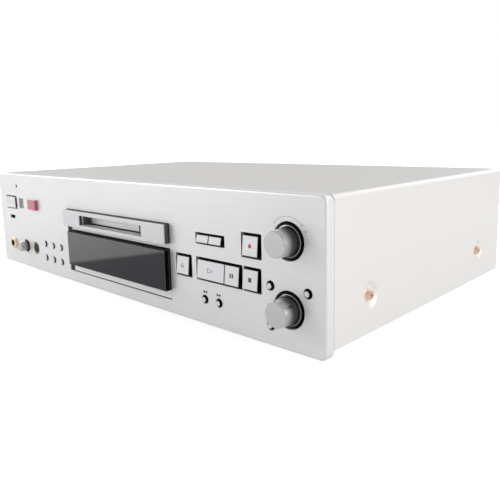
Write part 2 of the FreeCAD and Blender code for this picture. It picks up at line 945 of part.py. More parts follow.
def make_chassis_tray():
    """Bent steel floor with side and rear flanges, vents, posts and screw holes."""
    plate_top = tray_z + S.tray_sheet
    front = depth(S.panel_depth + S.seam)
    rear = rear_y - S.rear_sheet
    pieces = [box((-tray_half, tray_half), (front, rear), (tray_z, plate_top))]
    for side in (-1, 1):
        x = sorted((tray_half * side, (tray_half - S.tray_sheet) * side), key=lambda size: size.value)
        pieces.append(box(x, (front, rear), (plate_top, tray_z + S.tray_flange)))
    pieces.append(box((-tray_half, tray_half), (rear - S.tray_sheet, rear),
                      (plate_top, plate_top + S.tray_rear_flange)))
    for x, y in main_board_posts():
        pieces.append(rod("Z", (x, y), S.leg_radius, (plate_top, plate_top + S.main_board_lift)))
    holes = []
    for index in range(VENTS):
        x = foot_x / 2 - S.vent_pitch * index
        holes.append(box((x, x + S.vent_width), (depth(S.vents_y), depth(S.vents_y) + S.vent_length),
                         (tray_z - S.overrun, plate_top + S.overrun)))
    for side, screw_y in side_screw_places():
        across = (depth(screw_y), height(S.screw_height))
        x = sorted(((tray_half - S.tray_sheet - S.overrun) * side, (tray_half + S.overrun) * side),
                   key=lambda size: size.value)
        holes.append(rod("X", across, S.screw_radius + S.screw_slack, x))
    for x, rise in rear_screw_places()[:LOW_SCREWS]:
        holes.append(rod("Y", (x, height(rise)), S.rear_screw_radius + S.screw_slack,
                         (rear - S.tray_sheet - S.overrun, rear + S.overrun)))
    named(cut(fuse(pieces), holes), "chassis_tray")


def make_rear_panel():
    """Flat steel plate with cut-outs for the sockets and the mains inlet."""
    plate = box((-tray_half, tray_half), (rear_y - S.rear_sheet, rear_y),
                (tray_z, height(S.panel_height - S.cover_bend)))
    span = (rear_y - S.rear_sheet - S.overrun, rear_y + S.overrun)
    holes = []
    for x, rise in rear_screw_places():
        holes.append(rod("Y", (x, height(rise)), S.rear_screw_radius + S.screw_slack, span))
    for centre, width, tall in rear_blocks():
        x, rise = centre
        holes.append(box((x - width / 2 - S.seam, x + width / 2 + S.seam), span,
                         (height(rise) - tall / 2 - S.seam, height(rise) + tall / 2 + S.seam)))
    named(cut(plate, holes), "rear_panel")


def line_block():
    """Centre, width and height of the four line sockets' block behind the rear panel."""
    size = S.pin_jack_pitch + (S.pin_jack_radius + S.jack_margin) * 2
    return (line_x, S.line_height), size, size


def digital_places():
    """Centres of the digital sockets: one round one, then three square ones for light."""
    return [(S.digital_x + S.digital_pitch * index, S.line_height) for index in range(4)]


def inlet_block():
    """Centre, width and height of the mains inlet."""
    return (inlet_x, S.inlet_height), S.inlet_width, S.inlet_tall


def rear_blocks():
    """Every housing that passes through the rear panel."""
    blocks = [line_block(), inlet_block()]
    for centre in digital_places():
        blocks.append((centre, S.light_jack, S.light_jack))
    return blocks


def socket_body(centre, width, tall):
    """A socket's housing through the rear panel, with a flange outside it."""
    x, rise = centre
    housing = box((x - width / 2, x + width / 2), (rear_y - S.jack_inside, rear_y),
                  (height(rise) - tall / 2, height(rise) + tall / 2))
    reach = width / 2 + S.jack_margin
    rises = tall / 2 + S.jack_margin
    flange = box((x - reach, x + reach), (rear_y, rear_y + S.jack_flange),
                 (height(rise) - rises, height(rise) + rises))
    return [housing, flange]


def pin_jack(x, rise):
    """The barrel of one pin socket, and the bore in it."""
    across = (x, height(rise))
    base = rear_y + S.jack_flange
    barrel = rod("Y", across, S.pin_jack_radius, (base, rear_y + S.socket_reach))
    bore = rod("Y", across, S.pin_jack_bore, (base, rear_y + S.socket_reach + S.overrun))
    return barrel, bore


def make_line_jacks():
    """Block of four pin sockets, in two columns of two."""
    centre, width, tall = line_block()
    pieces = socket_body(centre, width, tall)
    bores = []
    for column in (-0.5, 0.5):
        for row in (-0.5, 0.5):
            barrel, bore = pin_jack(line_x + S.pin_jack_pitch * column,
                                    S.line_height + S.pin_jack_pitch * row)
            pieces.append(barrel)
            bores.append(bore)
    named(cut(fuse(pieces), bores), "line_jacks")


def make_digital_jacks():
    """A round digital socket and three square light sockets with closed shutters."""
    places = digital_places()
    barrel, bore = pin_jack(*places[0])
    finished = [cut(fuse(socket_body(places[0], S.light_jack, S.light_jack) + [barrel]), [bore])]
    for centre in places[1:]:
        x, rise = centre
        hole = box((x - S.light_hole / 2, x + S.light_hole / 2),
                   (rear_y + S.jack_flange - S.light_recess, rear_y + S.jack_flange + S.overrun),
                   (height(rise) - S.light_hole / 2, height(rise) + S.light_hole / 2))
        finished.append(cut(fuse(socket_body(centre, S.light_jack, S.light_jack)), [hole]))
    named(group(finished), "digital_jacks")


def make_mains_inlet():
    """Two-pin inlet: a block with a recess of two joined lobes and a pin in each."""
    centre, width, tall = inlet_block()
    x, rise = centre
    outside = rear_y + S.jack_flange
    floor = outside - S.inlet_recess
    recess = []
    pins = []
    for side in (-0.5, 0.5):
        across = (x + S.inlet_pitch * side, height(rise))
        recess.append(rod("Y", across, S.inlet_lobe, (floor, outside + S.overrun)))
        pins.append(rod("Y", across, S.inlet_pin, (floor, outside - S.inlet_pin_inset)))
    web = S.inlet_lobe - S.inlet_web_inset
    recess.append(box((x - S.inlet_pitch / 2, x + S.inlet_pitch / 2), (floor, outside + S.overrun),
                      (height(rise) - web, height(rise) + web)))
    housing = socket_body(centre, width, tall)
    back = box((x - width / 2, x + width / 2), (outside - S.inlet_recess - S.face_thick, rear_y),
               (height(rise) - tall / 2, height(rise) + tall / 2))
    named(fuse([cut(fuse(housing + [back]), recess)] + pins), "mains_inlet")


def pan_screw(axis, across, head_at, out, head_radius, head, radius, length):
    """A pan-head screw whose head starts at head_at and stands out along the axis."""
    if out > 0:
        skull = cone(axis, across, (head_radius, head_radius * HEAD_TAPER), (head_at, head_at + head))
        shank = rod(axis, across, radius, (head_at - length, head_at))
    else:
        skull = cone(axis, across, (head_radius * HEAD_TAPER, head_radius), (head_at - head, head_at))
        shank = rod(axis, across, radius, (head_at, head_at + length))
    return fuse([skull, shank])


def make_cover_screws():
    """Four pan-head screws in the side dimples."""
    screws = []
    for side, screw_y in side_screw_places():
        screws.append(pan_screw(
            "X", (depth(screw_y), height(S.screw_height)), (half_width - S.dimple_depth) * side,
            side, S.screw_head_radius, S.screw_head, S.screw_radius, S.screw_length))
    named(group(screws), "cover_screws")


def make_rear_screws():
    """Screws of the rear panel: four into the tray and three through the cover's lip."""
    screws = []
    for index, (x, rise) in enumerate(rear_screw_places()):
        head_at = rear_y if index < LOW_SCREWS else rear_y + S.cover_sheet
        screws.append(pan_screw("Y", (x, height(rise)), head_at, 1, S.rear_screw_head_radius,
                                S.rear_screw_head, S.rear_screw_radius,
                                S.rear_screw_length))
    named(group(screws), "rear_screws")


def make_feet():
    """Four turned feet with a narrower rubber-faced sole."""
    shape = new_body("foot")
    profile = sketch_on(shape, "XZ_Plane", 0)
    sole = S.foot_radius - S.foot_sole_step
    outline(profile, [
        (0, 0), (sole, 0), (sole, S.foot_pad), (S.foot_radius - S.foot_taper, S.foot_pad),
        (S.foot_radius, tray_z), (0, tray_z)])
    spin(shape, profile)
    feet = []
    for side in (-1, 1):
        for foot_y in (S.foot_front_y, foot_rear_y):
            foot = doc.addObject("App::Link", "FootCopy")
            foot.LinkedObject = shape
            feet.append(place(foot, foot_x * side, depth(foot_y), 0))
    named(group(feet), "feet")


def make_front_frame():
    """Black moulded plate behind the face: it closes the wells and guides every stem."""
    inset = S.rim_thick + S.frame_inset
    thick = (depth(frame_front), depth(frame_back))
    plate = box((-half_width + inset, half_width - inset), thick,
                (height(inset), height(S.panel_height - inset)))
    span = (depth(frame_front - S.overrun), depth(frame_back + S.overrun))
    holes = []
    for label, (x, rise) in KEY_CENTRES.items():
        stem = S.dot_stem if label in ROUND_PLACES else S.stem_radius
        holes.append(rod("Y", (x, height(rise)), stem + S.stem_slack, span))
    for rise in (S.level_height, S.jog_height):
        holes.append(rod("Y", (knob_x, height(rise)), S.shaft_radius + S.stem_slack, span))
    holes.append(rod("Y", (small_knob_x, height(S.sockets_height)), S.small_shaft + S.stem_slack,
                     span))
    for x in (phones_x, din_x):
        holes.append(rod("Y", (x, height(S.sockets_height)), S.phones_ring + S.phones_fit * 2, span))
    holes.append(rod("Y", (lamp_x, height(lamp_height)), S.lamp_radius + S.seam, span))
    holes.append(box((timer_x - timer_reach, timer_x + timer_reach), span,
                     (height(S.timer_height - S.timer_slot_tall / 2),
                      height(S.timer_height + S.timer_slot_tall / 2))))
    holes.append(box((block_left, block_right), span,
                     (height(S.block_low), height(S.block_high))))
    bosses = []
    for x, rise in board_bosses():
        bosses.append(rod("Y", (x, height(rise)), S.boss_radius,
                          (depth(frame_back), depth(board_front))))
    shelves = []
    for side in (-1, 1):
        x = (foot_x * side - S.shelf_reach, foot_x * side + S.shelf_reach)
        floor = tray_z + S.tray_sheet
        shelves.append(box(x, (depth(frame_back), depth(board_back + S.shelf_reach)),
                           (floor, floor + S.shelf_thick)))
        shelves.append(box(x, (depth(frame_back), depth(frame_back + S.shelf_rib)),
                           (height(inset), floor + S.shelf_rib_tall)))
    named(fuse([cut(plate, holes)] + bosses + shelves), "front_frame")


def board_spans():
    """The two key boards as spans in X: left of the display and right of it."""
    return [(S.board_margin + S.rim_thick - half_width, block_left - S.board_margin),
            (block_right + S.board_block_gap, half_width - S.board_margin - S.rim_thick)]


def board_heights():
    """The key boards' lower and upper edges."""
    low = S.board_margin + S.rim_thick + S.board_low_gap
    return low, S.panel_height - S.board_margin - S.rim_thick


def board_bosses():
    """Four bosses to each key board, near its corners."""
    low, high = board_heights()
    corners = []
    for left, right in board_spans():
        for x in (left + S.boss_inset_x, right - S.boss_inset_x):
            for rise in (low + S.boss_inset_z, high - S.boss_inset_z):
                corners.append((x, rise))
    return corners


def make_key_boards():
    """Two circuit boards with a push switch behind every key."""
    low, high = board_heights()
    boards = []
    for left, right in board_spans():
        pieces = [box((left, right), (depth(board_front), depth(board_back)),
                      (height(low), height(high)))]
        for x, rise in KEY_CENTRES.values():
            if not left.value < x.value < right.value:
                continue
            half = S.switch_size / 2
            pieces.append(box((x - half, x + half),
                              (depth(board_front - S.switch_height + S.plunger_out),
                               depth(board_front)),
                              (height(rise) - half, height(rise) + half)))
            pieces.append(rod("Y", (x, height(rise)), S.plunger_radius,
                              (depth(board_front - S.switch_height), depth(board_front))))
        boards.append((left, right, fuse(pieces)))
    span = (depth(board_front - S.switch_height - S.overrun), depth(board_back + S.overrun))
    phones_cut = S.phones_body / 2 + S.board_cut_gap
    left_holes = [
        rod("Y", (small_knob_x, height(S.sockets_height)), S.small_well, span),
        rod("Y", (din_x, height(S.sockets_height)), S.din_radius + S.board_cut_gap, span),
        box((phones_x - phones_cut, phones_x + phones_cut), span,
            (height(low - S.overrun), height(S.sockets_height + phones_cut)))]
    right_holes = [rod("Y", (knob_x, height(rise)), S.knob_hub_radius, span)
                   for rise in (S.level_height, S.jog_height)]
    named(group([cut(boards[0][2], left_holes), cut(boards[1][2], right_holes)]), "key_boards")


def make_tilted_key(label, left, middle, width, tall):
    """Rectangular key whose face leans out towards its lower edge, on a round stem."""
    body = new_body(label)
    profile = sketch_on(body, "YZ_Plane", -width / 2)
    outline(profile, [(S.key_back, -tall / 2), (S.key_back, tall / 2),
                      (-S.key_out_top, tall / 2), (-S.key_out_low, -tall / 2)])
    pad(body, profile, width)
    soften(body, "Chamfer", S.key_edge, lambda edge: edge.BoundBox.YMax < 0)
    stem = sketch_on(body, "XZ_Plane", -S.key_back)
    circle(stem, (0, 0), S.stem_radius)
    pad(body, stem, key_stem_end - S.key_back, towards_normal=False)
    place(body, left + width / 2, face_y, height(middle))


def make_power_button():
    """Flat rectangular key with softened corners."""
    body = new_body("power_button")
    profile = sketch_on(body, "XZ_Plane", S.power_out)
    rectangle(profile, (-S.power_width / 2, S.power_width / 2), (-S.power_tall / 2, S.power_tall / 2))
    pad(body, profile, S.power_out + S.key_back, towards_normal=False)
    soften(body, "Fillet", S.power_round, lambda edge: runs_along(edge, 1))
    soften(body, "Chamfer", S.key_edge, lambda edge: lies_at(edge, 1, -S.power_out.value))
    stem = sketch_on(body, "XZ_Plane", -S.key_back)
    circle(stem, (0, 0), S.stem_radius)
    pad(body, stem, key_stem_end - S.key_back, towards_normal=False)
    place(body, power_x, face_y, height(S.power_height))


def turned(label, points, x, rise):
    """A turned piece on an axis along Y: points are radius and depth behind the face."""
    body = new_body(label)
    profile = sketch_on(body, "XY_Plane", 0)
    outline(profile, points)
    spin(body, profile)
    place(body, x, face_y, height(rise))
    return body


def make_round_key(label, x, rise):
    """Small round key with a bevelled face, on a thinner stem."""
    turned(label, [
        (0, -S.dot_out), (S.dot_radius - S.dot_edge, -S.dot_out),
        (S.dot_radius, S.dot_edge - S.dot_out), (S.dot_radius, S.dot_back),
        (S.dot_stem, S.dot_back), (S.dot_stem, key_stem_end), (0, key_stem_end)], x, rise)


control_front = board_back
shaft_end = control_front + S.control_depth - S.shaft_end_gap
jog_bore_end = S.knob_face_thick - S.knob_out


def knob_front_points():
    """Outer profile of a large knob, from its face to the back of its base ring."""
    return [
        (0, -S.knob_out), (S.knob_front_radius - S.knob_edge, -S.knob_out),
        (S.knob_front_radius, S.knob_edge - S.knob_out),
        (S.knob_base_radius, -S.knob_ring / 2), (S.knob_ring_radius, -S.knob_ring / 2 + S.knob_edge),
        (S.knob_ring_radius, S.knob_ring / 2), (S.knob_hub_radius + S.knob_hollow, S.knob_back)]


def make_record_level_knob():
    """Turned knob with a wider ring at its base and its control shaft."""
    points = knob_front_points() + [(S.shaft_radius, S.knob_back), (S.shaft_radius, shaft_end),
                                    (0, shaft_end)]
    turned("record_level_knob", points, knob_x, S.level_height)


def make_jog_knob():
    """Turned knob with a blind bore that turns on the push shaft."""
    bore = S.jog_pin_radius + S.shaft_slack
    points = knob_front_points() + [(bore, S.knob_back), (bore, jog_bore_end), (0, jog_bore_end)]
    turned("jog_knob", points, knob_x, S.jog_height)


def make_jog_shaft():
    """Push shaft of the jog knob, from the knob's bore to the encoder behind the board."""
    tip = jog_bore_end + S.shaft_tip_gap
    step = S.knob_back + S.shaft_slack
    end = shaft_end - S.jog_travel - S.shaft_tip_gap
    turned("jog_shaft", [
        (0, tip), (S.jog_pin_radius, tip), (S.jog_pin_radius, step), (S.shaft_radius, step),
        (S.shaft_radius, end), (0, end)], knob_x, S.jog_height)


def make_phone_level_knob():
    """Small turned knob of the headphone level, with its control shaft."""
    turned("phone_level_knob", [
        (0, -S.small_knob_out), (S.small_knob_radius - S.knob_edge, -S.small_knob_out),
        (S.small_knob_radius, S.knob_edge - S.small_knob_out), (S.small_knob_radius, S.knob_back),
        (S.small_shaft, S.knob_back), (S.small_shaft, shaft_end), (0, shaft_end)],
        small_knob_x, S.sockets_height)


def control_box(x, rise, radius):
    """A rotary control behind the key board, open in front for its shaft."""
    half = S.control_size / 2
    case = box((x - half, x + half), (depth(control_front), depth(control_front + S.control_depth)),
               (height(rise) - half, height(rise) + half))
    bore = rod("Y", (x, height(rise)), radius + S.shaft_slack,
               (depth(control_front - S.overrun), depth(shaft_end + S.shaft_tip_gap)))
    return cut(case, [bore])


def make_controls():
    """The two level controls and the jog knob's encoder."""
    named(group([control_box(knob_x, S.level_height, S.shaft_radius),
                 control_box(small_knob_x, S.sockets_height, S.small_shaft)]), "potentiometers")
    named(control_box(knob_x, S.jog_height, S.shaft_radius), "jog_encoder")


def make_phones_jack():
    """Headphone socket: bright bush through the face and its body behind the frame."""
    across = (phones_x, height(S.sockets_height))
    bush = rod("Y", across, S.phones_ring, (depth(-S.phones_out), depth(frame_back)))
    nose = cone("Y", across, (S.phones_ring - S.phones_bevel, S.phones_ring),
                (depth(-S.phones_out - S.phones_nose), depth(-S.phones_out)))
    half = S.phones_body / 2
    body = box((phones_x - half, phones_x + half),
               (depth(frame_back), depth(frame_back + S.phones_length)),
               (across[1] - half, across[1] + half))
    bore = rod("Y", across, S.phones_bore,
               (depth(-S.phones_out - S.phones_nose - S.overrun),
                depth(frame_back + S.phones_length - S.phones_end)))
    named(cut(fuse([bush, nose, body]), [bore]), "phones_jack")


def make_keyboard_jack():
    """Round multi-pin socket: a ring, a groove for the plug's shell and a core."""
    across = (din_x, height(S.sockets_height))
    ring = rod("Y", across, S.din_radius, (depth(S.din_sunk), depth(S.din_length)))
    groove = rod("Y", across, S.din_groove, (depth(S.din_sunk - S.overrun), depth(S.din_depth)))
    core = rod("Y", across, S.din_core, (depth(S.din_core_sunk), depth(S.din_depth)))
    named(fuse([cut(ring, [groove]), core]), "keyboard_jack")


def make_timer_switch():
    """Three-position slide lever, with a carrier plate behind the frame."""
    x, rise = timer_x, height(S.timer_height)
    tall = S.timer_lever_tall / 2
    lever = box((x - S.timer_lever / 2, x + S.timer_lever / 2),
                (depth(-S.timer_out), depth(frame_back + S.shaft_slack)), (rise - tall, rise + tall))
    reach = S.timer_lever + S.carrier_reach
    carrier = box((x - reach, x + reach),
                  (depth(frame_back + S.shaft_slack), depth(board_front - S.carrier_gap)),
                  (rise - tall - S.carrier_rise, rise + tall + S.carrier_rise))
    named(fuse([lever, carrier]), "timer_lever")


def make_lamp_and_eye():
    """Standby lamp, remote sensor window and the raised red block beside them."""
    turned("standby_lamp", [
        (0, -S.lamp_out), (S.lamp_top_radius, -S.lamp_out), (S.lamp_radius, 0),
        (S.lamp_radius, board_front), (0, board_front)], lamp_x, lamp_height)
    eye = box((eye_x - S.eye_width / 2, eye_x + S.eye_width / 2),
              (depth(S.seam), depth(S.face_thick)),
              (height(S.eye_height - S.eye_tall / 2), height(S.eye_height + S.eye_tall / 2)))
    named(eye, "remote_window")
    body = new_body("red_emblem")
    profile = sketch_on(body, "XZ_Plane", 0)
    rectangle(profile, (-S.emblem_width / 2, S.emblem_width / 2),
              (-S.emblem_tall / 2, S.emblem_tall / 2))
    pad(body, profile, S.emblem_out)
    soften(body, "Fillet", S.key_edge, lambda edge: lies_at(edge, 1, -S.emblem_out.value))
    place(body, emblem_x, face_y, height(S.emblem_height))


raised_right = block_right - S.bezel_margin
flap_hinge = S.mouth_high - S.hinge_drop
flap_low = flap_hinge + S.pin_radius - S.flap_tall
flap_mid = S.flap_depth + S.flap_thick / 2
tunnel_back = S.flap_depth + S.flap_thick + S.tunnel_past


def make_display_frame():
    """Black block in the face: tunnel to the disc slot above, display hollow below."""
    low = height(S.block_low + S.seam)
    high = height(S.block_high - S.seam)
    base = box((block_left + S.seam, block_right - S.seam),
               (depth(S.block_recess), depth(S.block_recess + S.block_base)), (low, high))
    flange = box((block_left - S.block_flange, block_right + S.block_flange),
                 (depth(frame_back), depth(frame_back + S.flange_thick)),
                 (height(S.block_low - S.block_flange_low), height(S.block_high + S.block_flange)))
    bezel_block = box((bezel_left, raised_right), (depth(S.bezel_plate - S.block_out),
                                                     depth(S.block_recess)),
                      (height(S.bezel_low), height(S.block_high - S.bezel_margin)))
    window_block = box((window_left, raised_right),
                       (depth(S.window_thick - S.block_out), depth(S.block_recess)),
                       (height(S.window_low), height(S.window_high)))
    tunnel_wall = box((mouth_left - S.tunnel_wall, mouth_right + S.tunnel_wall),
                      (depth(frame_back), depth(tunnel_back)),
                      (height(S.mouth_low - S.tunnel_wall), height(S.mouth_high + S.tunnel_wall)))
    mouth = box((mouth_left, mouth_right),
                (depth(-S.block_out), depth(S.flap_depth - S.flap_front_gap)),
                (height(S.mouth_low), height(S.mouth_high)))
    half = S.flap_width / 2 + S.flap_gap
    doorway = box((S.disc_x - half, S.disc_x + half), (face_y, depth(tunnel_back + S.overrun)),
                  (height(S.mouth_low), height(S.mouth_high)))
    reach = S.flap_width / 2 + S.pin_length + S.pin_end_gap
    pivot = rod("X", (depth(flap_mid), height(flap_hinge)), S.pin_radius + S.shaft_slack,
                (S.disc_x - reach, S.disc_x + reach))
    hollow = box((window_left + S.block_wall, raised_right - S.block_wall),
                 (depth(-S.block_out), depth(frame_back + S.flange_thick + S.overrun)),
                 (height(S.window_low + S.block_wall), height(S.window_high - S.block_wall)))
    solid = fuse([base, flange, bezel_block, window_block, tunnel_wall])
    named(cut(solid, [mouth, doorway, pivot, hollow]), "display_frame")


def make_display_parts():
    """Tinted window, display tube, silver strips and the slot's front plate."""
    window = box((window_left, raised_right),
                 (depth(-S.block_out), depth(S.window_thick - S.block_out)),
                 (height(S.window_low), height(S.window_high)))
    named(window, "display_window")
    centre = (S.window_low + S.window_high) / 2
    glass = box((window_left + S.tube_margin, raised_right - S.tube_margin),
                (depth(S.block_recess), depth(S.block_recess + S.tube_thick)),
                (height(centre) - S.tube_tall / 2, height(centre) + S.tube_tall / 2))
    carrier = box((window_left, raised_right),
                  (depth(frame_back + S.flange_thick),
                   depth(frame_back + S.flange_thick + S.board_thick)),
                  (height(S.window_low - S.tube_board_low_gap),
                   height(S.mouth_low - S.tube_board_high_gap)))
    named(fuse([glass, carrier]), "display_tube")
    strip_y = (depth(S.block_recess - S.trim_thick), depth(S.block_recess))
    strips = [
        box((window_left, raised_right), strip_y,
            (height(S.block_low + S.seam * 2), height(S.window_low))),
        box((window_left, raised_right), strip_y,
            (height(S.window_high), height(S.bezel_low)))]
    named(group(strips), "display_trim")
    plate = box((bezel_left, raised_right),
                (depth(-S.block_out), depth(S.bezel_plate - S.block_out)),
                (height(S.bezel_low), height(S.block_high - S.bezel_margin)))
    mouth = box((mouth_left, mouth_right),
                (depth(-S.block_out - S.overrun), depth(S.bezel_plate - S.block_out + S.overrun)),
                (height(S.mouth_low), height(S.mouth_high)))
    named(cut(plate, [mouth]), "slot_bezel")


def make_slot_flap():
    """Door of the disc slot, hung from a pin at each end of its upper edge."""
    half = S.flap_width / 2
    leaf = box((S.disc_x - half, S.disc_x + half),
               (depth(S.flap_depth), depth(S.flap_depth + S.flap_thick)),
               (height(flap_low), height(flap_hinge)))
    barrel = rod("X", (depth(flap_mid), height(flap_hinge)), S.pin_radius,
                 (S.disc_x - half - S.pin_length, S.disc_x + half + S.pin_length))
    named(fuse([leaf, barrel]), "slot_flap")


deck_y = (depth(S.deck_front), depth(S.deck_front + S.deck_length))
deck_left = S.disc_x - S.deck_half
slide_left = deck_left + S.deck_sheet + S.slide_gap
slide_x = (slide_left, slide_left + S.slide_thick)
bay_mid = S.bay_height + S.bay_tall / 2
pin_places = [S.bay_front + S.pin_first, S.bay_front + S.pin_first + S.pin_pitch]
pitch_radius = GEAR_TEETH * S.tooth_module / 2
gear_height = S.slide_low - pitch_radius - S.tooth_clear
gear_y = S.bay_front + S.gear_from_bay
bracket_x = (S.disc_x + S.rod_start - S.bracket_sheet, S.disc_x + S.rod_start)
rod_places = [S.spindle_y - S.rod_spread, S.spindle_y + S.rod_spread]


def make_mechanism_chassis():
    """Folded tray on four legs that carries the loading and reading parts."""
    floor = (height(S.deck_floor), height(S.deck_floor + S.deck_sheet))
    pieces = [box((deck_left, deck_right), deck_y, floor)]
    for left in (deck_left, deck_right - S.deck_sheet):
        pieces.append(box((left, left + S.deck_sheet), deck_y, (floor[1], height(S.deck_high))))
    bracket_y = (depth(rod_places[0] - S.bracket_front), depth(S.screw_y + S.bracket_rear))
    pieces.append(box(bracket_x, bracket_y, (floor[1], height(S.rod_height + S.bracket_high))))
    for x in (deck_left + S.leg_inset, deck_right - S.leg_inset):
        for y in (deck_y[0] + S.leg_inset, deck_y[1] - S.leg_inset):
            pieces.append(rod("Z", (x, y), S.leg_radius,
                              (tray_z + S.tray_sheet, height(S.deck_floor))))
    pieces.append(rod("X", (depth(gear_y), height(gear_height)), S.gear_pin,
                      (deck_left, slide_x[1] + S.gear_pin_past)))
    holes = []
    for y in pin_places:
        half = S.guide_pin + S.pin_slack
        span = (height(bay_mid - S.bay_drop) - half, height(bay_mid) + half)
        for left in (deck_left, deck_right - S.deck_sheet):
            holes.append(box((left - S.overrun, left + S.deck_sheet + S.overrun),
                             (depth(y) - half, depth(y) + half), span))
    reach = (bracket_x[0] - S.overrun, deck_right + S.overrun)
    for y in rod_places:
        holes.append(rod("X", (depth(y), height(S.rod_height)), S.rod_radius + S.shaft_slack, reach))
    holes.append(rod("X", (depth(S.screw_y), height(S.rod_height)), S.screw_shaft + S.shaft_slack,
                     reach))
    named(cut(fuse(pieces), holes), "mechanism_chassis")


def make_disc_holder():
    """Channel that takes the cartridge, with four guide pins; it sinks onto the platter."""
    half = S.bay_width / 2
    y = (depth(S.bay_front), depth(S.bay_front + S.bay_length))
    low = height(S.bay_height)
    high = height(S.bay_height + S.bay_tall)
    pieces = [box((S.disc_x - half - S.bay_sheet, S.disc_x + half + S.bay_sheet), y,
                  (high, high + S.bay_sheet))]
    for side in (-1, 1):
        wall = sorted((S.disc_x + half * side, S.disc_x + (half + S.bay_sheet) * side),
                      key=lambda size: size.value)
        lip = sorted((S.disc_x + (half - S.bay_lip) * side, S.disc_x + (half + S.bay_sheet) * side),
                     key=lambda size: size.value)
        pieces.append(box(wall, y, (low, high)))
        pieces.append(box(lip, y, (low - S.bay_sheet, low)))
        pin = sorted((S.disc_x + half * side, S.disc_x + (S.deck_half - S.guide_pin_gap) * side),
                     key=lambda size: size.value)
        pin = [pin[0] + (S.bay_sheet / 2 if side > 0 else 0),
               pin[1] - (S.bay_sheet / 2 if side < 0 else 0)]
        for place_y in pin_places:
            pieces.append(rod("X", (depth(place_y), height(bay_mid)), S.guide_pin, pin))
    back = box((S.disc_x - half, S.disc_x + half), (y[1] - S.bay_sheet, y[1]), (low, high))
    named(fuse(pieces + [back]), "disc_holder")


def make_loading_slide():
    """Sliding plate whose slanted slots lower the disc holder, with a rack below."""
    slope = S.bay_drop / S.slide_travel
    front = S.bay_front - S.slide_past_front
    rear = pin_places[1] + S.slide_past_rear
    plate = box(slide_x, (depth(front), depth(rear)),
                (height(S.slide_low + S.slide_root), height(S.slide_high)))
    across = S.guide_pin + S.pin_slack
    slots = []
    for y in pin_places:
        slots.append(slanted_slot(y, across, slope))
    teeth = []
    pitch = S.tooth_module * math.pi
    first = gear_y - pitch * (RACK_TEETH - 2)
    for index in range(RACK_TEETH):
        teeth.append(rack_tooth(first + pitch * index))
    named(fuse([cut(plate, slots)] + teeth), "loading_slide")


def slanted_slot(y, half, slope):
    """Slot for a guide pin: its end circles joined by a slanted band."""
    rise = bay_mid
    ends = [(y, rise), (y - S.slide_travel, rise - S.bay_drop)]
    angle = math.atan(slope.value)
    wide = half / math.cos(angle)
    x = (slide_x[0] - S.overrun, slide_x[1] + S.overrun)
    body = new_body("slot_band")
    band = sketch_on(body, "YZ_Plane", x[0])
    outline(band, [
        (depth(ends[0][0]), height(ends[0][1]) - wide), (depth(ends[0][0]), height(ends[0][1]) + wide),
        (depth(ends[1][0]), height(ends[1][1]) + wide), (depth(ends[1][0]), height(ends[1][1]) - wide)])
    pad(body, band, x[1] - x[0])
    circles = [rod("X", (depth(end_y), height(end_rise)), half, x) for end_y, end_rise in ends]
    return fuse([body] + circles)


def rack_tooth(y):
    """One straight-sided rack tooth that points down from the slide's lower edge."""
    module = S.tooth_module
    body = new_body("rack_tooth")
    shape = sketch_on(body, "YZ_Plane", slide_x[0])
    root = module * RACK_ROOT_HALF
    tip = module * RACK_TIP_HALF
    top = height(S.slide_low + S.slide_root + S.tooth_sink)
    end = height(S.slide_low) - module * RACK_TOOTH_HIGH
    outline(shape, [(depth(y) - root, top), (depth(y) + root, top), (depth(y) + tip, end),
                    (depth(y) - tip, end)])
    pad(body, shape, S.slide_thick)
    return body


def make_loading_gear():
    """Gear on a fixed pin that drives the slide's rack."""
    module = S.tooth_module
    root = pitch_radius - module * GEAR_ROOT
    tip = pitch_radius + module * GEAR_TIP
    middle = (slide_x[0] + slide_x[1]) / 2
    start = middle - S.gear_width / 2
    body = new_body("loading_gear")
    ring = sketch_on(body, "YZ_Plane", 0)
    points = []
    for index in range(GEAR_TEETH):
        centre = math.pi / 2 + 2 * math.pi * index / GEAR_TEETH + math.pi / GEAR_TEETH
        for radius, share in ((root, -GEAR_ROOT_SHARE), (tip, -GEAR_TIP_SHARE),
                              (tip, GEAR_TIP_SHARE), (root, GEAR_ROOT_SHARE)):
            angle = centre + share * 2 * math.pi / GEAR_TEETH
            points.append((radius * math.cos(angle), radius * math.sin(angle)))
    outline(ring, points)
    circle(ring, (0, 0), S.gear_pin + S.shaft_slack)
    pad(body, ring, S.gear_width)
    place(body, start, depth(gear_y), height(gear_height))


def make_turntable():
    """Platter with its centring cone and the spindle that runs in the motor."""
    body = new_body("turntable")
    profile = sketch_on(body, "XZ_Plane", 0)
    top = S.platter_high
    low = height(S.deck_floor + S.deck_sheet + S.motor_length - S.spindle_sink)
    under = height(top - S.platter_thick)
    peak = height(top + S.cone_high)
    outline(profile, [
        (0, low), (S.spindle_radius, low), (S.spindle_radius, under), (S.platter_radius, under),
        (S.platter_radius, height(top)), (S.cone_radius, height(top)), (S.cone_top, peak),
        (0, peak)])
    spin(body, profile)
    place(body, S.disc_x, depth(S.spindle_y), 0)


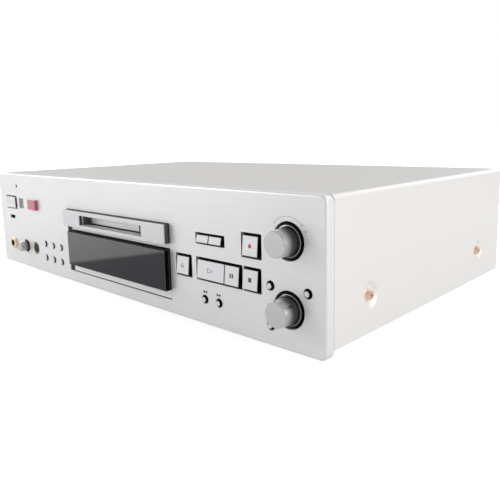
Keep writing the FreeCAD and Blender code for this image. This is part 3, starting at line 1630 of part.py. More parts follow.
def make_drive_motors():
    """Three small round motors: spindle, sled and loading."""
    floor = S.deck_floor + S.deck_sheet
    bore_floor = floor + S.motor_length - S.spindle_sink - S.spindle_room
    spindle = cut(
        rod("Z", (S.disc_x, depth(S.spindle_y)), S.motor_radius,
            (height(floor), height(floor + S.motor_length))),
        [rod("Z", (S.disc_x, depth(S.spindle_y)), S.spindle_radius + S.shaft_slack,
             (height(bore_floor), height(floor + S.motor_length + S.overrun)))])
    sled = rod("X", (depth(S.screw_y), height(S.rod_height)), S.motor_radius,
               (bracket_x[0] - S.motor_length, bracket_x[0]))
    loading_y = deck_y[1] - S.motor_radius - S.load_motor_gap
    loading = rod("Z", (deck_left + S.load_motor_side, loading_y), S.motor_radius,
                  (height(floor), height(floor + S.motor_length)))
    named(group([spindle, sled, loading]), "drive_motors")


def make_sled_parts():
    """Optical sled on two rods, moved by a lead screw."""
    rods = []
    end = deck_right - S.rod_end_gap
    for y in rod_places:
        rods.append(rod("X", (depth(y), height(S.rod_height)), S.rod_radius, (bracket_x[0], end)))
    named(group(rods), "guide_rods")
    half = S.sled_length / 2
    left = S.disc_x + S.sled_start
    tall = (height(S.rod_height) - S.sled_tall / 2, height(S.rod_height) + S.sled_tall / 2)
    block = box((left, left + S.sled_width),
                (depth(S.spindle_y) - half, depth(S.spindle_y) + half),
                tall)
    lens_top = S.bay_height - S.bay_drop - S.bay_sheet - S.lens_gap
    lens = rod("Z", (left + S.lens_radius + S.lens_inset, depth(S.spindle_y)), S.lens_radius,
               (height(S.rod_height), height(lens_top)))
    nut = box((left + S.nut_inset, left + S.nut_inset + S.nut_length),
              (depth(S.spindle_y) + half, depth(S.screw_y + S.nut_past)), tall)
    span = (left - S.overrun, left + S.sled_width + S.overrun)
    bores = [rod("X", (depth(y), height(S.rod_height)), S.rod_radius + S.shaft_slack, span)
             for y in rod_places]
    bores.append(rod("X", (depth(S.screw_y), height(S.rod_height)), S.screw_shaft + S.shaft_slack,
                     span))
    named(cut(fuse([block, lens, nut]), bores), "optical_sled")
    named(rod("X", (depth(S.screw_y), height(S.rod_height)), S.screw_shaft,
              (bracket_x[0] + S.screw_start_gap, end)), "lead_screw")


def main_board_posts():
    """The main board's four posts, near its corners."""
    columns = (main_board_left + S.post_inset, main_board_right - S.post_inset)
    rows = (S.main_board_front + S.post_inset, main_board_rear - S.post_inset)
    return [(x, depth(y)) for x in columns for y in rows]


def make_main_board():
    """Large circuit board with capacitors, chips and a heat sink."""
    low = tray_z + S.tray_sheet + S.main_board_lift
    high = low + S.board_thick
    pieces = [box((main_board_left, main_board_right),
                  (depth(S.main_board_front), depth(main_board_rear)), (low, high))]
    for index in range(CAPACITORS):
        y = depth(main_board_rear - S.capacitor_from_rear) - S.capacitor_pitch * index
        pieces.append(rod("Z", (main_board_right - S.capacitor_from_side, y), S.capacitor_radius,
                          (high, high + S.capacitor_tall)))
    for index in range(CHIPS):
        x = main_board_left + S.chip_from_left + S.chip_pitch * index
        y = depth(S.main_board_front + S.chip_from_front)
        pieces.append(box((x, x + S.chip_size), (y, y + S.chip_size), (high, high + S.chip_tall)))
    sink_x = main_board_left + S.sink_from_left
    sink_y = depth(main_board_rear - S.sink_from_rear)
    sink_back = sink_y + S.sink_plate
    sink_z = (high, high + S.sink_tall)
    pieces.append(box((sink_x, sink_x + S.sink_width), (sink_y, sink_back), sink_z))
    for index in range(SINK_FINS):
        x = sink_x + (S.sink_width - S.sink_fin) / (SINK_FINS - 1) * index
        pieces.append(box((x, x + S.sink_fin), (sink_back, sink_back + S.sink_fin_depth), sink_z))
    named(fuse(pieces), "main_board")


def make_transformer():
    """Laminated core, its winding between the limbs and its mounting plate."""
    floor = tray_z + S.tray_sheet
    half_x = S.core_width / 2
    half_y = S.core_length / 2
    middle = depth(core_y)
    core_span = (middle - half_y / 2, middle + half_y / 2)
    plate = box((core_x - half_x - S.core_ear, core_x + half_x + S.core_ear), core_span,
                (floor, floor + S.core_plate))
    core = box((core_x - half_x, core_x + half_x), core_span,
               (floor + S.core_plate, floor + S.core_tall))
    coil = box((core_x - S.coil_width / 2, core_x + S.coil_width / 2),
               (middle - half_y, middle + half_y),
               (floor + S.coil_low_gap, floor + S.core_tall - S.coil_high_gap))
    named(fuse([plate, core, coil]), "power_transformer")


make_front_panel()
make_top_cover()
make_chassis_tray()
make_rear_panel()
make_line_jacks()
make_digital_jacks()
make_mains_inlet()
make_cover_screws()
make_rear_screws()
make_feet()
make_front_frame()
make_key_boards()
for key_label, key_place in KEY_PLACES.items():
    make_tilted_key(key_label, *key_place)
make_power_button()
for key_label, (key_x, key_rise) in ROUND_PLACES.items():
    make_round_key(key_label, key_x, key_rise)
make_record_level_knob()
make_jog_knob()
make_jog_shaft()
make_phone_level_knob()
make_controls()
make_phones_jack()
make_keyboard_jack()
make_timer_switch()
make_lamp_and_eye()
make_display_frame()
make_display_parts()
make_slot_flap()
make_mechanism_chassis()
make_disc_holder()
make_loading_slide()
make_loading_gear()
make_turntable()
make_drive_motors()
make_sled_parts()
make_main_board()
make_transformer()
doc.recompute()

NODES = [
    "front_panel", "top_cover", "chassis_tray", "rear_panel", "line_jacks", "digital_jacks",
    "mains_inlet", "cover_screws", "rear_screws", "feet", "front_frame", "key_boards",
    *KEY_PLACES, "power_button", *ROUND_PLACES, "record_level_knob", "jog_knob", "jog_shaft",
    "phone_level_knob", "potentiometers", "jog_encoder", "phones_jack", "keyboard_jack",
    "timer_lever", "standby_lamp", "remote_window", "red_emblem", "display_frame",
    "display_window", "display_tube", "display_trim", "slot_bezel", "slot_flap",
    "mechanism_chassis", "disc_holder", "loading_slide", "loading_gear", "turntable",
    "drive_motors", "guide_rods", "optical_sled", "lead_screw", "main_board",
    "power_transformer",
]


def check_and_export():
    """Stop at any failed object, then write each piece to its own file."""
    for item in doc.Objects:
        if "Invalid" in item.State or "Error" in item.State:
            raise RuntimeError(f"{item.Name} ({item.Label}) failed")
    os.makedirs("parts", exist_ok=True)
    for node in NODES:
        shape = doc.getObjectsByLabel(node)[0].Shape
        if shape.isNull() or not shape.isValid() or not shape.Solids:
            raise RuntimeError(f"{node} has no valid shape")
        shape.exportStep(os.path.join("parts", f"{node}.step"))
        print(node, len(shape.Solids), "solids", round(shape.Volume, 1), "mm3")
    print(len(NODES), "nodes")


check_and_export()
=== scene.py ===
# %% [markdown]
# A silver full-size minidisc deck on a plain white table, seen from its front right corner.
# The rigid parts come from the CAD frame, which stays as it is: this file gives them their
# finishes, adds the small printed and moulded details, and lights the whole.
# All lengths are in metres in the CAD frame: X along the front, Y into the depth, Z up.

import math

import bpy
import numpy as np
from mathutils import Matrix, Vector


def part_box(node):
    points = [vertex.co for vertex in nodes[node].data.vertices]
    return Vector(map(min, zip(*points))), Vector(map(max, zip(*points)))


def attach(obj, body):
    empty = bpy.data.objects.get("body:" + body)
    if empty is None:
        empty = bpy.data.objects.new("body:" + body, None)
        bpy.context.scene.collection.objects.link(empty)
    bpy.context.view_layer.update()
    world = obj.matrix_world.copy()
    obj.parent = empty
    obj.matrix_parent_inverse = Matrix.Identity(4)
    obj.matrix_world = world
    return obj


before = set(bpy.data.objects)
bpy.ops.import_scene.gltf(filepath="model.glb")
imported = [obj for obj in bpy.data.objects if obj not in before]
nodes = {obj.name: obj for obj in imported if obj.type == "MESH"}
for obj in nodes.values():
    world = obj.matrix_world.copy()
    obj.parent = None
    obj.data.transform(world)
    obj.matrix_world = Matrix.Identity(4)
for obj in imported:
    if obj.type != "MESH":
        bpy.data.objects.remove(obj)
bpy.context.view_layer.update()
MM = 0.001

# %% [markdown]
# The places of the new details are read from the CAD pieces' own boxes, so that they stay
# on their keys and openings. The front face is the plane of the front panel's lowest Y.

# %% Reference planes


def middle(node):
    """Centre of a CAD piece's box."""
    low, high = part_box(node)
    return (Vector(low) + Vector(high)) / 2


def front_of(node):
    """Y of the front of a CAD piece's box."""
    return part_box(node)[0][1]


face_y = front_of("front_panel")
panel_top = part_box("front_panel")[1][2]
print("front face at y =", round(face_y, 5), "and its top at z =", round(panel_top, 4))

# %% [markdown]
# The camera stands near the deck's front right corner, a little above it. Its place was
# found by matching the corners and controls of the front, the side and the top, so that the
# picture has the same lines; how far ahead it stands is measured from the face. The lens sits
# off the picture's centre, which the shift gives.

# %% Camera
PICTURE = 500
FOCAL_PIXELS = 543.4
CENTRE_X, CENTRE_Y = 250.9, 221.9
CAMERA_X, CAMERA_AHEAD, CAMERA_Z = 384.7 * MM, 237.3 * MM, 138.5 * MM
YAW, PITCH, ROLL = (math.radians(angle) for angle in (-43.64, 8.84, 1.23))
SENSOR = 36.0
NEAREST, FARTHEST = 0.01, 50.0


def camera_axes():
    """Right, up and back directions of a camera turned by yaw and pitch, then rolled."""
    ahead = math.cos(PITCH)
    forward = Vector((math.sin(YAW) * ahead, math.cos(YAW) * ahead, -math.sin(PITCH)))
    level = Vector((math.cos(YAW), -math.sin(YAW), 0))
    down = forward.cross(level)
    right = level * math.cos(ROLL) + down * math.sin(ROLL)
    lower = down * math.cos(ROLL) - level * math.sin(ROLL)
    return right, -lower, -forward


camera_data = bpy.data.cameras.new("camera")
camera_data.sensor_width = SENSOR
camera_data.lens = FOCAL_PIXELS / PICTURE * SENSOR
camera_data.shift_x = (PICTURE / 2 - CENTRE_X) / PICTURE
camera_data.shift_y = (CENTRE_Y - PICTURE / 2) / PICTURE
camera_data.clip_start = NEAREST
camera_data.clip_end = FARTHEST
camera = bpy.data.objects.new("camera", camera_data)
turn = Matrix(camera_axes()).transposed().to_4x4()
turn.translation = (CAMERA_X, face_y - CAMERA_AHEAD, CAMERA_Z)
camera.matrix_world = turn
bpy.context.collection.objects.link(camera)
bpy.context.scene.camera = camera
print("lens", round(camera_data.lens, 2), "mm")

# %% [markdown]
# Shader maths reads best as ordinary formulas. The class below wraps one socket of a node
# tree, so that masks and distances can be added and multiplied like numbers, and each sign
# adds the Math node that it stands for.

# %% Values with arithmetic


class Value:
    """One output socket, with arithmetic that adds Math nodes."""

    def __init__(self, owner, socket):
        self.owner = owner
        self.socket = socket

    def math(self, operation, *others):
        """The Math node of that operation, with this value first."""
        inputs = dict(enumerate((self,) + others))
        return self.owner.node("ShaderNodeMath", {"operation": operation}, inputs)

    def __add__(self, other):
        return self.math("ADD", other)

    def __sub__(self, other):
        return self.math("SUBTRACT", other)

    def __rsub__(self, other):
        return self.owner.node("ShaderNodeMath", {"operation": "SUBTRACT"}, {0: other, 1: self})

    def __mul__(self, other):
        return self.math("MULTIPLY", other)

    def __gt__(self, other):
        return self.math("GREATER_THAN", other)

    def __lt__(self, other):
        return self.math("LESS_THAN", other)

    __radd__ = __add__
    __rmul__ = __mul__

    def between(self, low, high):
        """0 below low, 1 above high, and an S-shaped rise between them."""
        return self.owner.node("ShaderNodeMapRange", {"interpolation_type": "SMOOTHSTEP"},
                               {"Value": self, "From Min": low, "From Max": high})

    def around(self, level, spread):
        """A level plus the spread times this value's distance from one half."""
        return level + (self - 0.5) * spread


print("values can be added, multiplied and compared")

# %% [markdown]
# Materials and the sky are trees of nodes. One method adds any node: it takes the node's
# type, its settings and what goes into its sockets, and hands back one of its outputs.

# %% Nodes of a tree


class Tree:
    """A node tree, with one method that adds any node."""

    def __init__(self, tree):
        self.tree = tree

    def node(self, kind, settings=None, inputs=None, output=0):
        """Adds a node, sets its settings, then its sockets, and returns one output."""
        made = self.tree.nodes.new(kind)
        for key, setting in (settings or {}).items():
            setattr(made, key, setting)
        for key, value in (inputs or {}).items():
            self.feed(made.inputs[key], value)
        return Value(self, made.outputs[output])

    def feed(self, socket, value):
        """Links a Value to a socket, or sets the socket to a number or a colour."""
        if isinstance(value, Value):
            self.tree.links.new(value.socket, socket)
        elif socket.type == "RGBA":
            socket.default_value = (*value, 1)
        else:
            socket.default_value = value


print("any node can be added")

# %% [markdown]
# A material adds its principled shader to such a tree, and short ways to what comes up again
# and again: the point on the piece, its distance from an axis, noise, a mix of two colours,
# and relief. All its patterns read the point in the CAD frame, so they have their real size.

# %% Materials
BLACK = (0.0, 0.0, 0.0)


def shade(colour, factor):
    """A colour made lighter or darker by a factor."""
    return tuple(channel * factor for channel in colour)


class Shader(Tree):
    """A material with its principled shader, and short ways to reach its nodes."""

    def __init__(self, name):
        self.material = bpy.data.materials.new(name)
        self.material.use_nodes = True
        super().__init__(self.material.node_tree)
        self.main = self.tree.nodes["Principled BSDF"]

    def set(self, **values):
        """Feeds the principled shader's sockets, with underscores for spaces."""
        for name, value in values.items():
            self.feed(self.main.inputs[name.replace("_", " ")], value)

    def place(self):
        """The point on the piece, in the CAD frame, in metres."""
        return self.node("ShaderNodeTexCoord", output="Object")

    def stretched(self, scale):
        """The point with each direction multiplied, which stretches a pattern."""
        return self.node("ShaderNodeMapping", inputs={"Vector": self.place(), "Scale": scale})

    def axis(self, letter):
        """One coordinate of the point: X, Y or Z."""
        return self.node("ShaderNodeSeparateXYZ", inputs={0: self.place()}, output=letter)

    def radius(self, centre):
        """Distance from the axis along Y through a centre: the root of x squared plus z squared."""
        across = self.axis("X") - centre.x
        rise = self.axis("Z") - centre.z
        return (across * across + rise * rise).math("SQRT")

    def noise(self, scale, detail, vector=None):
        """Smooth random values about 0.5, with that many cells to the metre."""
        return self.node("ShaderNodeTexNoise", inputs={
            "Vector": vector or self.place(), "Scale": scale, "Detail": detail})

    def mix(self, mask, first, second):
        """The first colour where the mask is 0 and the second where it is 1.
        The Mix node takes its two colours at sockets 6 and 7, and gives its colour at 2."""
        return self.node("ShaderNodeMix", {"data_type": "RGBA"},
                         {0: mask, 6: first, 7: second}, output=2)

    def vary(self, mask, colour, darkest, lightest):
        """The colour times one factor where the mask is 0, and another where it is 1."""
        return self.mix(mask, shade(colour, darkest), shade(colour, lightest))

    def bump(self, height, distance, strength):
        """Relief of that distance in metres on the shader's normal."""
        self.set(Normal=self.node("ShaderNodeBump", inputs={
            "Height": height, "Distance": distance, "Strength": strength}))


def finish_on(shader, *names):
    """Gives CAD pieces one shader's material in all their slots."""
    for name in names:
        slots = nodes[name].data.materials
        if not len(slots):
            slots.append(shader.material)
        for index in range(len(slots)):
            slots[index] = shader.material


print("shader helpers ready")

# %% [markdown]
# The face is brushed aluminium, anodised: pale and half metallic, with fine streaks that run
# from end to end. A noise that is stretched along X gives the streaks their length, and it
# turns the tone, the roughness and the relief together, as the real scratches do. The face's
# upper edge is painted a little brighter, as a painted highlight.

# %% Brushed aluminium
SILVER = (0.805, 0.798, 0.81)
BRUSHED_ROUGHNESS = 0.40
HIGHLIGHT_DEPTH = 0.2 * MM
HIGHLIGHT_GAIN = 1.15


def streaks(shader):
    """Fine noise whose X is drawn out fifty times."""
    return shader.noise(1500.0, 3.0, shader.stretched((0.02, 1.0, 1.0)))


def brushed_metal(name, colour, metallic=0.5, highlight_above=None):
    """Brushed metal, with a painted highlight that makes it brighter above a given height."""
    shader = Shader(name)
    cloud = shader.noise(9.0, 1.0)
    streak = streaks(shader)
    tone = shader.vary(streak.between(0.3, 0.7), colour, 0.975, 1.015)
    # Painted highlight: above the given height the tone is lighter.
    if highlight_above is not None:
        tone = shader.mix(shader.axis("Z") > highlight_above, tone, shade(colour, HIGHLIGHT_GAIN))
    shader.set(Base_Color=tone, Metallic=metallic,
               Roughness=cloud.around(streak.around(BRUSHED_ROUGHNESS, 0.10), 0.05))
    shader.bump(streak, 0.004 * MM, 0.5)
    return shader


finish_on(brushed_metal("panel_aluminium", SILVER, highlight_above=panel_top - HIGHLIGHT_DEPTH),
          "front_panel")
print("brushed face")

# %% [markdown]
# A key has a silver cap and black sides. The shader tells the cap from the sides by the
# distance from the key's middle: the larger of the two cross distances for a square key, and
# the radius for a round one. The round keys of the right half are domed, and their silver ends
# well inside the outline: the rim beyond it is painted black as shade. Two small keys in a
# pair are matter, and their silver is painted darker as shade.

# %% Keys
ROUND_KEY_LIMIT = 6 * MM
KEY_RIM = 0.12 * MM
DOME_SHADE_FROM = 0.78
KEY_SILVER, KEY_BLACK = (0.74, 0.75, 0.765), (0.014, 0.014, 0.015)
KEY_ROUGHNESS = 0.36
PAIR_KEYS = ("record_mode_button", "input_button")
PAIR_SHADE_AND_MATT = 0.16


def key_finish(node, matt, shade_from_share):
    """Silver over the cap, and black within a hair's breadth of its outline and beyond; on a domed
    key the black of painted shade starts at a share of the radius.
    """
    shader = Shader(node + "_finish")
    low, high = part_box(node)
    centre = middle(node)
    if high[0] - low[0] < ROUND_KEY_LIMIT:
        # Painted shade: on a domed key the rim beyond the share of its radius is black.
        side = shader.radius(centre) > (high[0] - low[0]) / 2 * shade_from_share - KEY_RIM
    else:
        across = (shader.axis("X") - centre.x).math("ABSOLUTE")
        rise = (shader.axis("Z") - centre.z).math("ABSOLUTE")
        beyond_x = across > (high[0] - low[0]) / 2 - KEY_RIM
        beyond_z = rise > (high[2] - low[2]) / 2 - KEY_RIM
        side = beyond_x.math("MAXIMUM", beyond_z)
    fine = shader.noise(2500.0, 2.0)
    # Painted shade: the pair's silver is darker by the same share that makes it matter.
    cap = shader.vary(fine, shade(KEY_SILVER, 1.0 - matt), 0.95, 1.03)
    shader.set(Base_Color=shader.mix(side, cap, KEY_BLACK), Metallic=0.5 + side * 0.5,
               Roughness=fine.around(KEY_ROUGHNESS + matt + side * 0.3, 0.1))
    shader.bump(fine, 0.012 * MM, 0.4)
    return shader


keys = [name for name in nodes if name.endswith("_button") or name.startswith("function_button")]
for key in keys:
    shade_from_share = DOME_SHADE_FROM if middle(key).x > 0 else 1.0
    matt = PAIR_SHADE_AND_MATT if key in PAIR_KEYS else 0.0
    finish_on(key_finish(key, matt, shade_from_share), key)
print(len(keys), "keys with black sides")

# %% [markdown]
# The cover is bent steel under a smooth semi-gloss silver paint. Paint flakes give it a
# slight metallic look, and the paint's own skin is a thin coat with a soft shine. The rear
# panel has a greyer and duller paint with no such coat.

# %% Cover paint


def flake_paint(name, colour, roughness, coat):
    """Silver paint: tiny flakes vary the colour, and a coat adds the even shine."""
    shader = Shader(name)
    flakes = shader.noise(6000.0, 1.0)
    waves = shader.noise(14.0, 2.0)
    shader.set(Base_Color=shader.vary(flakes.between(0.35, 0.65), colour, 0.96, 1.03),
               Metallic=0.3, Coat_Weight=coat, Coat_Roughness=0.22,
               Roughness=waves.around(roughness, 0.08))
    shader.bump(waves, 0.04 * MM, 0.35)
    return shader


finish_on(flake_paint("cover_paint", (0.80, 0.785, 0.77), 0.42, 0.25), "top_cover")
finish_on(flake_paint("rear_paint", (0.62, 0.62, 0.61), 0.55, 0.0), "rear_panel")
print("cover and rear panel painted")

# %% [markdown]
# Turned aluminium has fine rings from the tool. On a knob the rings go round its own axis,
# so the pattern reads the distance from that axis, which runs along Y through the knob's
# centre, with a ring every 0.7 mm. The skirt is painted darker further behind the face, a
# painted reflection of the panel's shade, and a large knob stands on a wide base ring that is
# painted black as the shade of its well, but for one bright line that is a painted highlight.

# %% Turned knobs
KNOB_SILVER = (0.66, 0.67, 0.68)
KNOB_SHARES = {"record_level_knob": 0.92, "jog_knob": 0.92, "phone_level_knob": 0.8}
TOOL_RINGS = 9000.0
PAINTED_SHADE_FROM, PAINTED_SHADE_TO = 1.5 * MM, 8.0 * MM
SKIRT_PAINTED_SHADE = 0.88
SHADED_RING_RADIUS = 8.95 * MM
HIGHLIGHT_LINE_FROM, HIGHLIGHT_LINE_TO = 9.25 * MM, 9.5 * MM


def turned_metal(node, colour):
    """Turned metal: rings are a sine of the distance from the axis plus the distance along it, with
    painted shade on the skirt and the base ring and a painted highlight line.
    """
    shader = Shader(node + "_metal")
    behind = shader.axis("Y") - front_of(node)
    radius = shader.radius(middle(node))
    rings = (radius * TOOL_RINGS + shader.axis("Y") * TOOL_RINGS).math("SINE") * 0.5 + 0.5
    cloud = shader.noise(60.0, 1.0)
    tone = shader.vary(rings, colour, 0.94, 1.04)
    # Painted shade: the skirt darkens behind the face, and beyond the ring radius the base ring is
    # black.
    tone = shader.mix(behind.between(PAINTED_SHADE_FROM, PAINTED_SHADE_TO) * SKIRT_PAINTED_SHADE, tone, BLACK)
    tone = shader.mix(radius > SHADED_RING_RADIUS, tone, (0.012, 0.012, 0.012))
    # Painted highlight: a bright line on the base ring's rim.
    line = (radius > HIGHLIGHT_LINE_FROM) * (radius < HIGHLIGHT_LINE_TO)
    tone = shader.mix(line, tone, (0.45, 0.45, 0.45))
    shader.set(Base_Color=tone, Metallic=0.92, Roughness=cloud.around(0.24, 0.06))
    shader.bump(rings, 0.006 * MM, 0.5)
    return shader


for knob, share in KNOB_SHARES.items():
    finish_on(turned_metal(knob, shade(KNOB_SILVER, share)), knob)
print(len(KNOB_SHARES), "turned knobs")

# %% [markdown]
# The moulded parts behind the face are black plastic. The window is the same black moulding
# under clear tinted plastic: seen from outside it is a dark polished surface that mirrors the
# room, so a smooth dark shader with a high index of refraction gives it, with no need for
# real transparency.

# %% Black mouldings and tinted window
SKIN_FROM, SKIN_TO = 0.05 * MM, 0.15 * MM


def moulded(name, colour, roughness, grain=1800.0, shine=0.5):
    """Moulded plastic with a fine spark-eroded grain."""
    shader = Shader(name)
    relief = shader.noise(grain, 3.0)
    shader.set(Base_Color=shader.vary(relief, colour, 0.85, 1.15),
               Roughness=relief.around(roughness, 0.1), Specular_IOR_Level=shine)
    shader.bump(relief, 0.02 * MM, 0.5)
    return shader


def tinted(name, node, colour):
    """Dark clear plastic: its front is polished, and its cut sides are matt black."""
    shader = Shader(name)
    waves = shader.noise(8.0, 1.0)
    behind = (shader.axis("Y") - front_of(node)).between(SKIN_FROM, SKIN_TO)
    tone = shader.vary(waves, colour, 0.9, 1.1)
    shader.set(Base_Color=shader.mix(behind, tone, (0.004, 0.004, 0.004)), Metallic=behind,
               Roughness=behind * 0.6, IOR=2.05)
    return shader


finish_on(moulded("black_moulding", (0.012, 0.012, 0.013), 0.6, shine=0.1),
          "front_frame", "timer_lever", "feet")
finish_on(tinted("window_tint", "display_window", (0.018, 0.018, 0.024)), "display_window")
finish_on(tinted("tube_glass", "display_tube", (0.010, 0.014, 0.014)), "display_tube")
finish_on(moulded("sensor_window", (0.20, 0.20, 0.20), 0.3), "remote_window")
finish_on(moulded("socket_plastic", (0.03, 0.03, 0.032), 0.35), "mains_inlet",
          "digital_jacks", "jog_encoder", "potentiometers")
print("mouldings done")

# %% [markdown]
# The display frame is black too, but the mouth of the disc slot that runs through it is lined
# in silver with painted shade: a dark strip just behind the front plate, a bright one, then a
# grey wall in painted shade and a bright floor up to a dark line of painted shade before the
# flap. The mouth is the hole in the front plate, and its limits are those of the plate's inner
# points.

# %% Mouth of the disc slot
HAIR = 0.05 * MM
PLATE_MARGIN = 0.5 * MM


def inner_limits(node, margin):
    """Least and greatest X and Z of a piece's points that lie off its outer edge."""
    data = nodes[node].data
    points = np.empty(len(data.vertices) * 3)
    data.vertices.foreach_get("co", points)
    points = points.reshape(-1, 3)[:, [0, 2]]
    low, high = (np.array(corner)[[0, 2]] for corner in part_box(node))
    inside = np.all((points > low + margin) & (points < high - margin), axis=1)
    return points[inside].min(0), points[inside].max(0)


mouth_low, mouth_high = inner_limits("slot_bezel", PLATE_MARGIN)
print("slot mouth", [round(value / MM, 1) for value in (*mouth_low, *mouth_high)], "mm")

# %% [markdown]
# The lining's colours are masks of the point's place: within the mouth or not, and how deep
# behind the plate. To the right of the plate the frame shows a narrow brownish cheek: a painted
# reflection of the room.

# %% Lining of the disc slot
STRIP_FROM, STRIP_TO = 2.7 * MM, 4.2 * MM
FLAP_SHADE_WIDTH = 1.6 * MM
plate_front = front_of("slot_bezel")
plate_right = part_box("slot_bezel")[1][0]
plate_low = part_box("slot_bezel")[0][2]
flap_depth = front_of("slot_flap") - plate_front


def slot_lining(name):
    """Black frame whose points within the mouth's limits are silver, with bands of painted shade
    along Y, and a painted reflection on the cheek right of the plate.
    """
    shader = Shader(name)
    x, y, z = (shader.axis(letter) for letter in "XYZ")
    inside = ((x > mouth_low[0] - HAIR) * (x < mouth_high[0] + HAIR)
              * (z > mouth_low[1] - HAIR) * (z < mouth_high[1] + HAIR))
    into = y - plate_front
    strip = (into > STRIP_FROM) * (into < STRIP_TO)
    # Painted shade: a dark strip behind the plate and a grey wall beyond the bright strip.
    wall_with_painted_shade = shader.mix(into > STRIP_TO, (0.03, 0.03, 0.03), (0.16, 0.16, 0.165))
    wall_with_painted_shade = shader.mix(strip, wall_with_painted_shade, (0.75, 0.75, 0.76))
    # Painted shade: a dark line on the floor just before the flap.
    floor_with_painted_shade = shader.mix(into < flap_depth - FLAP_SHADE_WIDTH, (0.02, 0.02, 0.02), (0.70, 0.70, 0.71))
    lining = shader.mix(z < mouth_low[1] + HAIR, wall_with_painted_shade, floor_with_painted_shade)
    grain = shader.noise(1800.0, 3.0)
    black = shader.mix(grain, (0.010, 0.010, 0.011), (0.016, 0.016, 0.017))
    # Painted reflection: a brownish band on the frame's cheek right of the plate.
    cheek_reflection = (x > plate_right - HAIR) * (z > plate_low) * (into < STRIP_TO)
    black = shader.mix(cheek_reflection, black, (0.085, 0.078, 0.072))
    shader.set(Base_Color=shader.mix(inside, black, lining), Metallic=inside * 0.3,
               Roughness=grain.around(0.5, 0.1), Specular_IOR_Level=0.3)
    shader.bump(grain, 0.02 * MM, 0.4)
    return shader


finish_on(slot_lining("display_frame_black"), "display_frame")
print("slot lined down to", round(flap_depth / MM, 1), "mm")

# %% [markdown]
# The slot's plate and flap are brushed like the face, the plate painted darker as shade and the flap
# brighter.
# Two brushed strips frame the window. Between the plate and the window a black band of painted
# shade crosses the upper strip, and the lower strip ends in a dark line of painted shade: both
# are bands of height in the strips' shader.

# %% Slot plate, flap and trim strips
SHADE_BAND_BELOW, SHADE_BAND_ABOVE = 0.1 * MM, 1.3 * MM
FOOT_SHADE_LINE = 0.45 * MM


def strip_metal(name, colour, shadow_low, shadow_high, foot):
    """Brushed strip with painted shade: a black band between two heights and a dark line along its
    foot.
    """
    shader = Shader(name)
    z = shader.axis("Z")
    # Painted shade: black between the two heights and below the foot.
    step = ((z > shadow_low) * (z < shadow_high)).math("MAXIMUM", z < foot)
    streak = streaks(shader)
    tone = shader.vary(streak, colour, 0.95, 1.04)
    shader.set(Base_Color=shader.mix(step, tone, (0.01, 0.01, 0.01)),
               Metallic=0.5 + step * 0.5, Roughness=streak.around(BRUSHED_ROUGHNESS, 0.1))
    return shader


window_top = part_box("display_window")[1][2]
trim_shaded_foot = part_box("display_trim")[0][2] + FOOT_SHADE_LINE
finish_on(strip_metal("trim_silver", SILVER, window_top - SHADE_BAND_BELOW, window_top + SHADE_BAND_ABOVE,
                      trim_shaded_foot), "display_trim")
# Painted shade: the plate's silver is darker than the face's.
finish_on(brushed_metal("slot_plate_shaded_silver", (0.67, 0.675, 0.69)), "slot_bezel")
finish_on(brushed_metal("flap_silver", (0.86, 0.86, 0.85), metallic=0.3), "slot_flap")
print("plate, flap and strips brushed")

# %% [markdown]
# A few small parts carry colour: the red block on the face and the copper-plated screws of
# the cover. The rear screws are plated too, in black. Each is plain, so a little wear in the
# tone and the roughness is what makes it look made and not painted.

# %% Coloured parts


def plated(name, colour, roughness):
    """Plated metal with a slow drift in its tone."""
    shader = Shader(name)
    wear = shader.noise(400.0, 3.0)
    shader.set(Base_Color=shader.vary(wear.between(0.3, 0.7), colour, 0.85, 1.0),
               Metallic=1.0, Roughness=wear.around(roughness, 0.15))
    return shader


def glossy(name, colour, roughness=0.15):
    """Glossy coloured plastic, slightly deeper in tone in places."""
    shader = Shader(name)
    cloud = shader.noise(150.0, 2.0)
    shader.set(Base_Color=shader.vary(cloud, colour, 0.88, 1.08),
               Roughness=cloud.around(roughness, 0.05), Coat_Weight=0.3)
    return shader


finish_on(glossy("emblem_red", (0.46, 0.10, 0.145), 0.12), "red_emblem")
finish_on(plated("copper_plate", (0.95, 0.66, 0.50), 0.3), "cover_screws")
finish_on(plated("black_screws", (0.10, 0.10, 0.10), 0.35), "rear_screws")
print("coloured parts done")

# %% [markdown]
# A socket is bright outside and dark inside. The headphone socket is one piece, so its colour
# follows the distance from its axis: gold on the bush, black inside the bore. Its housing,
# behind the face, is black as well.

# %% Headphone socket
BORE_RADIUS = 3.4 * MM
HOUSING_DEPTH = 6.0 * MM


def socket_metal(name, centre, bore, colour):
    """Gold from the bore's radius outward and before the housing, and nearly black elsewhere."""
    shader = Shader(name)
    housing = shader.axis("Y") > face_y + HOUSING_DEPTH
    outside = shader.radius(centre).between(bore * 0.98, bore * 1.02) * (1.0 - housing)
    gold = shader.vary(shader.noise(300.0, 2.0), colour, 0.85, 1.05)
    shader.set(Base_Color=shader.mix(outside, (0.03, 0.025, 0.02), gold),
               Metallic=outside * 0.9, Roughness=0.32 - outside * 0.08)
    return shader


finish_on(socket_metal("phones_gold", middle("phones_jack"), BORE_RADIUS, (0.88, 0.72, 0.44)),
          "phones_jack")
print("headphone bush", round(2 * BORE_RADIUS / MM, 1), "mm inside")

# %% [markdown]
# The keyboard socket has a dull middle, a black gap and a brassy ring, and the standby lamp a
# pale lens in a dark rim. Both are a core with rings round an axis, so one function makes
# them: each ring has the radius where it starts, and it goes on to the next one or the rim.

# %% Ringed parts


def ringed(name, centre, core, rings, metallic, roughness):
    """A core colour, and ring colours from given distances from an axis along Y."""
    shader = Shader(name)
    radius = shader.radius(centre)
    grain = shader.noise(900.0, 2.0)
    tone = core
    for start, colour in rings:
        tone = shader.mix(radius > start, tone, colour)
    tone = shader.mix(grain * 0.3, tone, BLACK)
    shader.set(Base_Color=tone, Metallic=metallic, Roughness=roughness + grain * 0.1)
    return shader


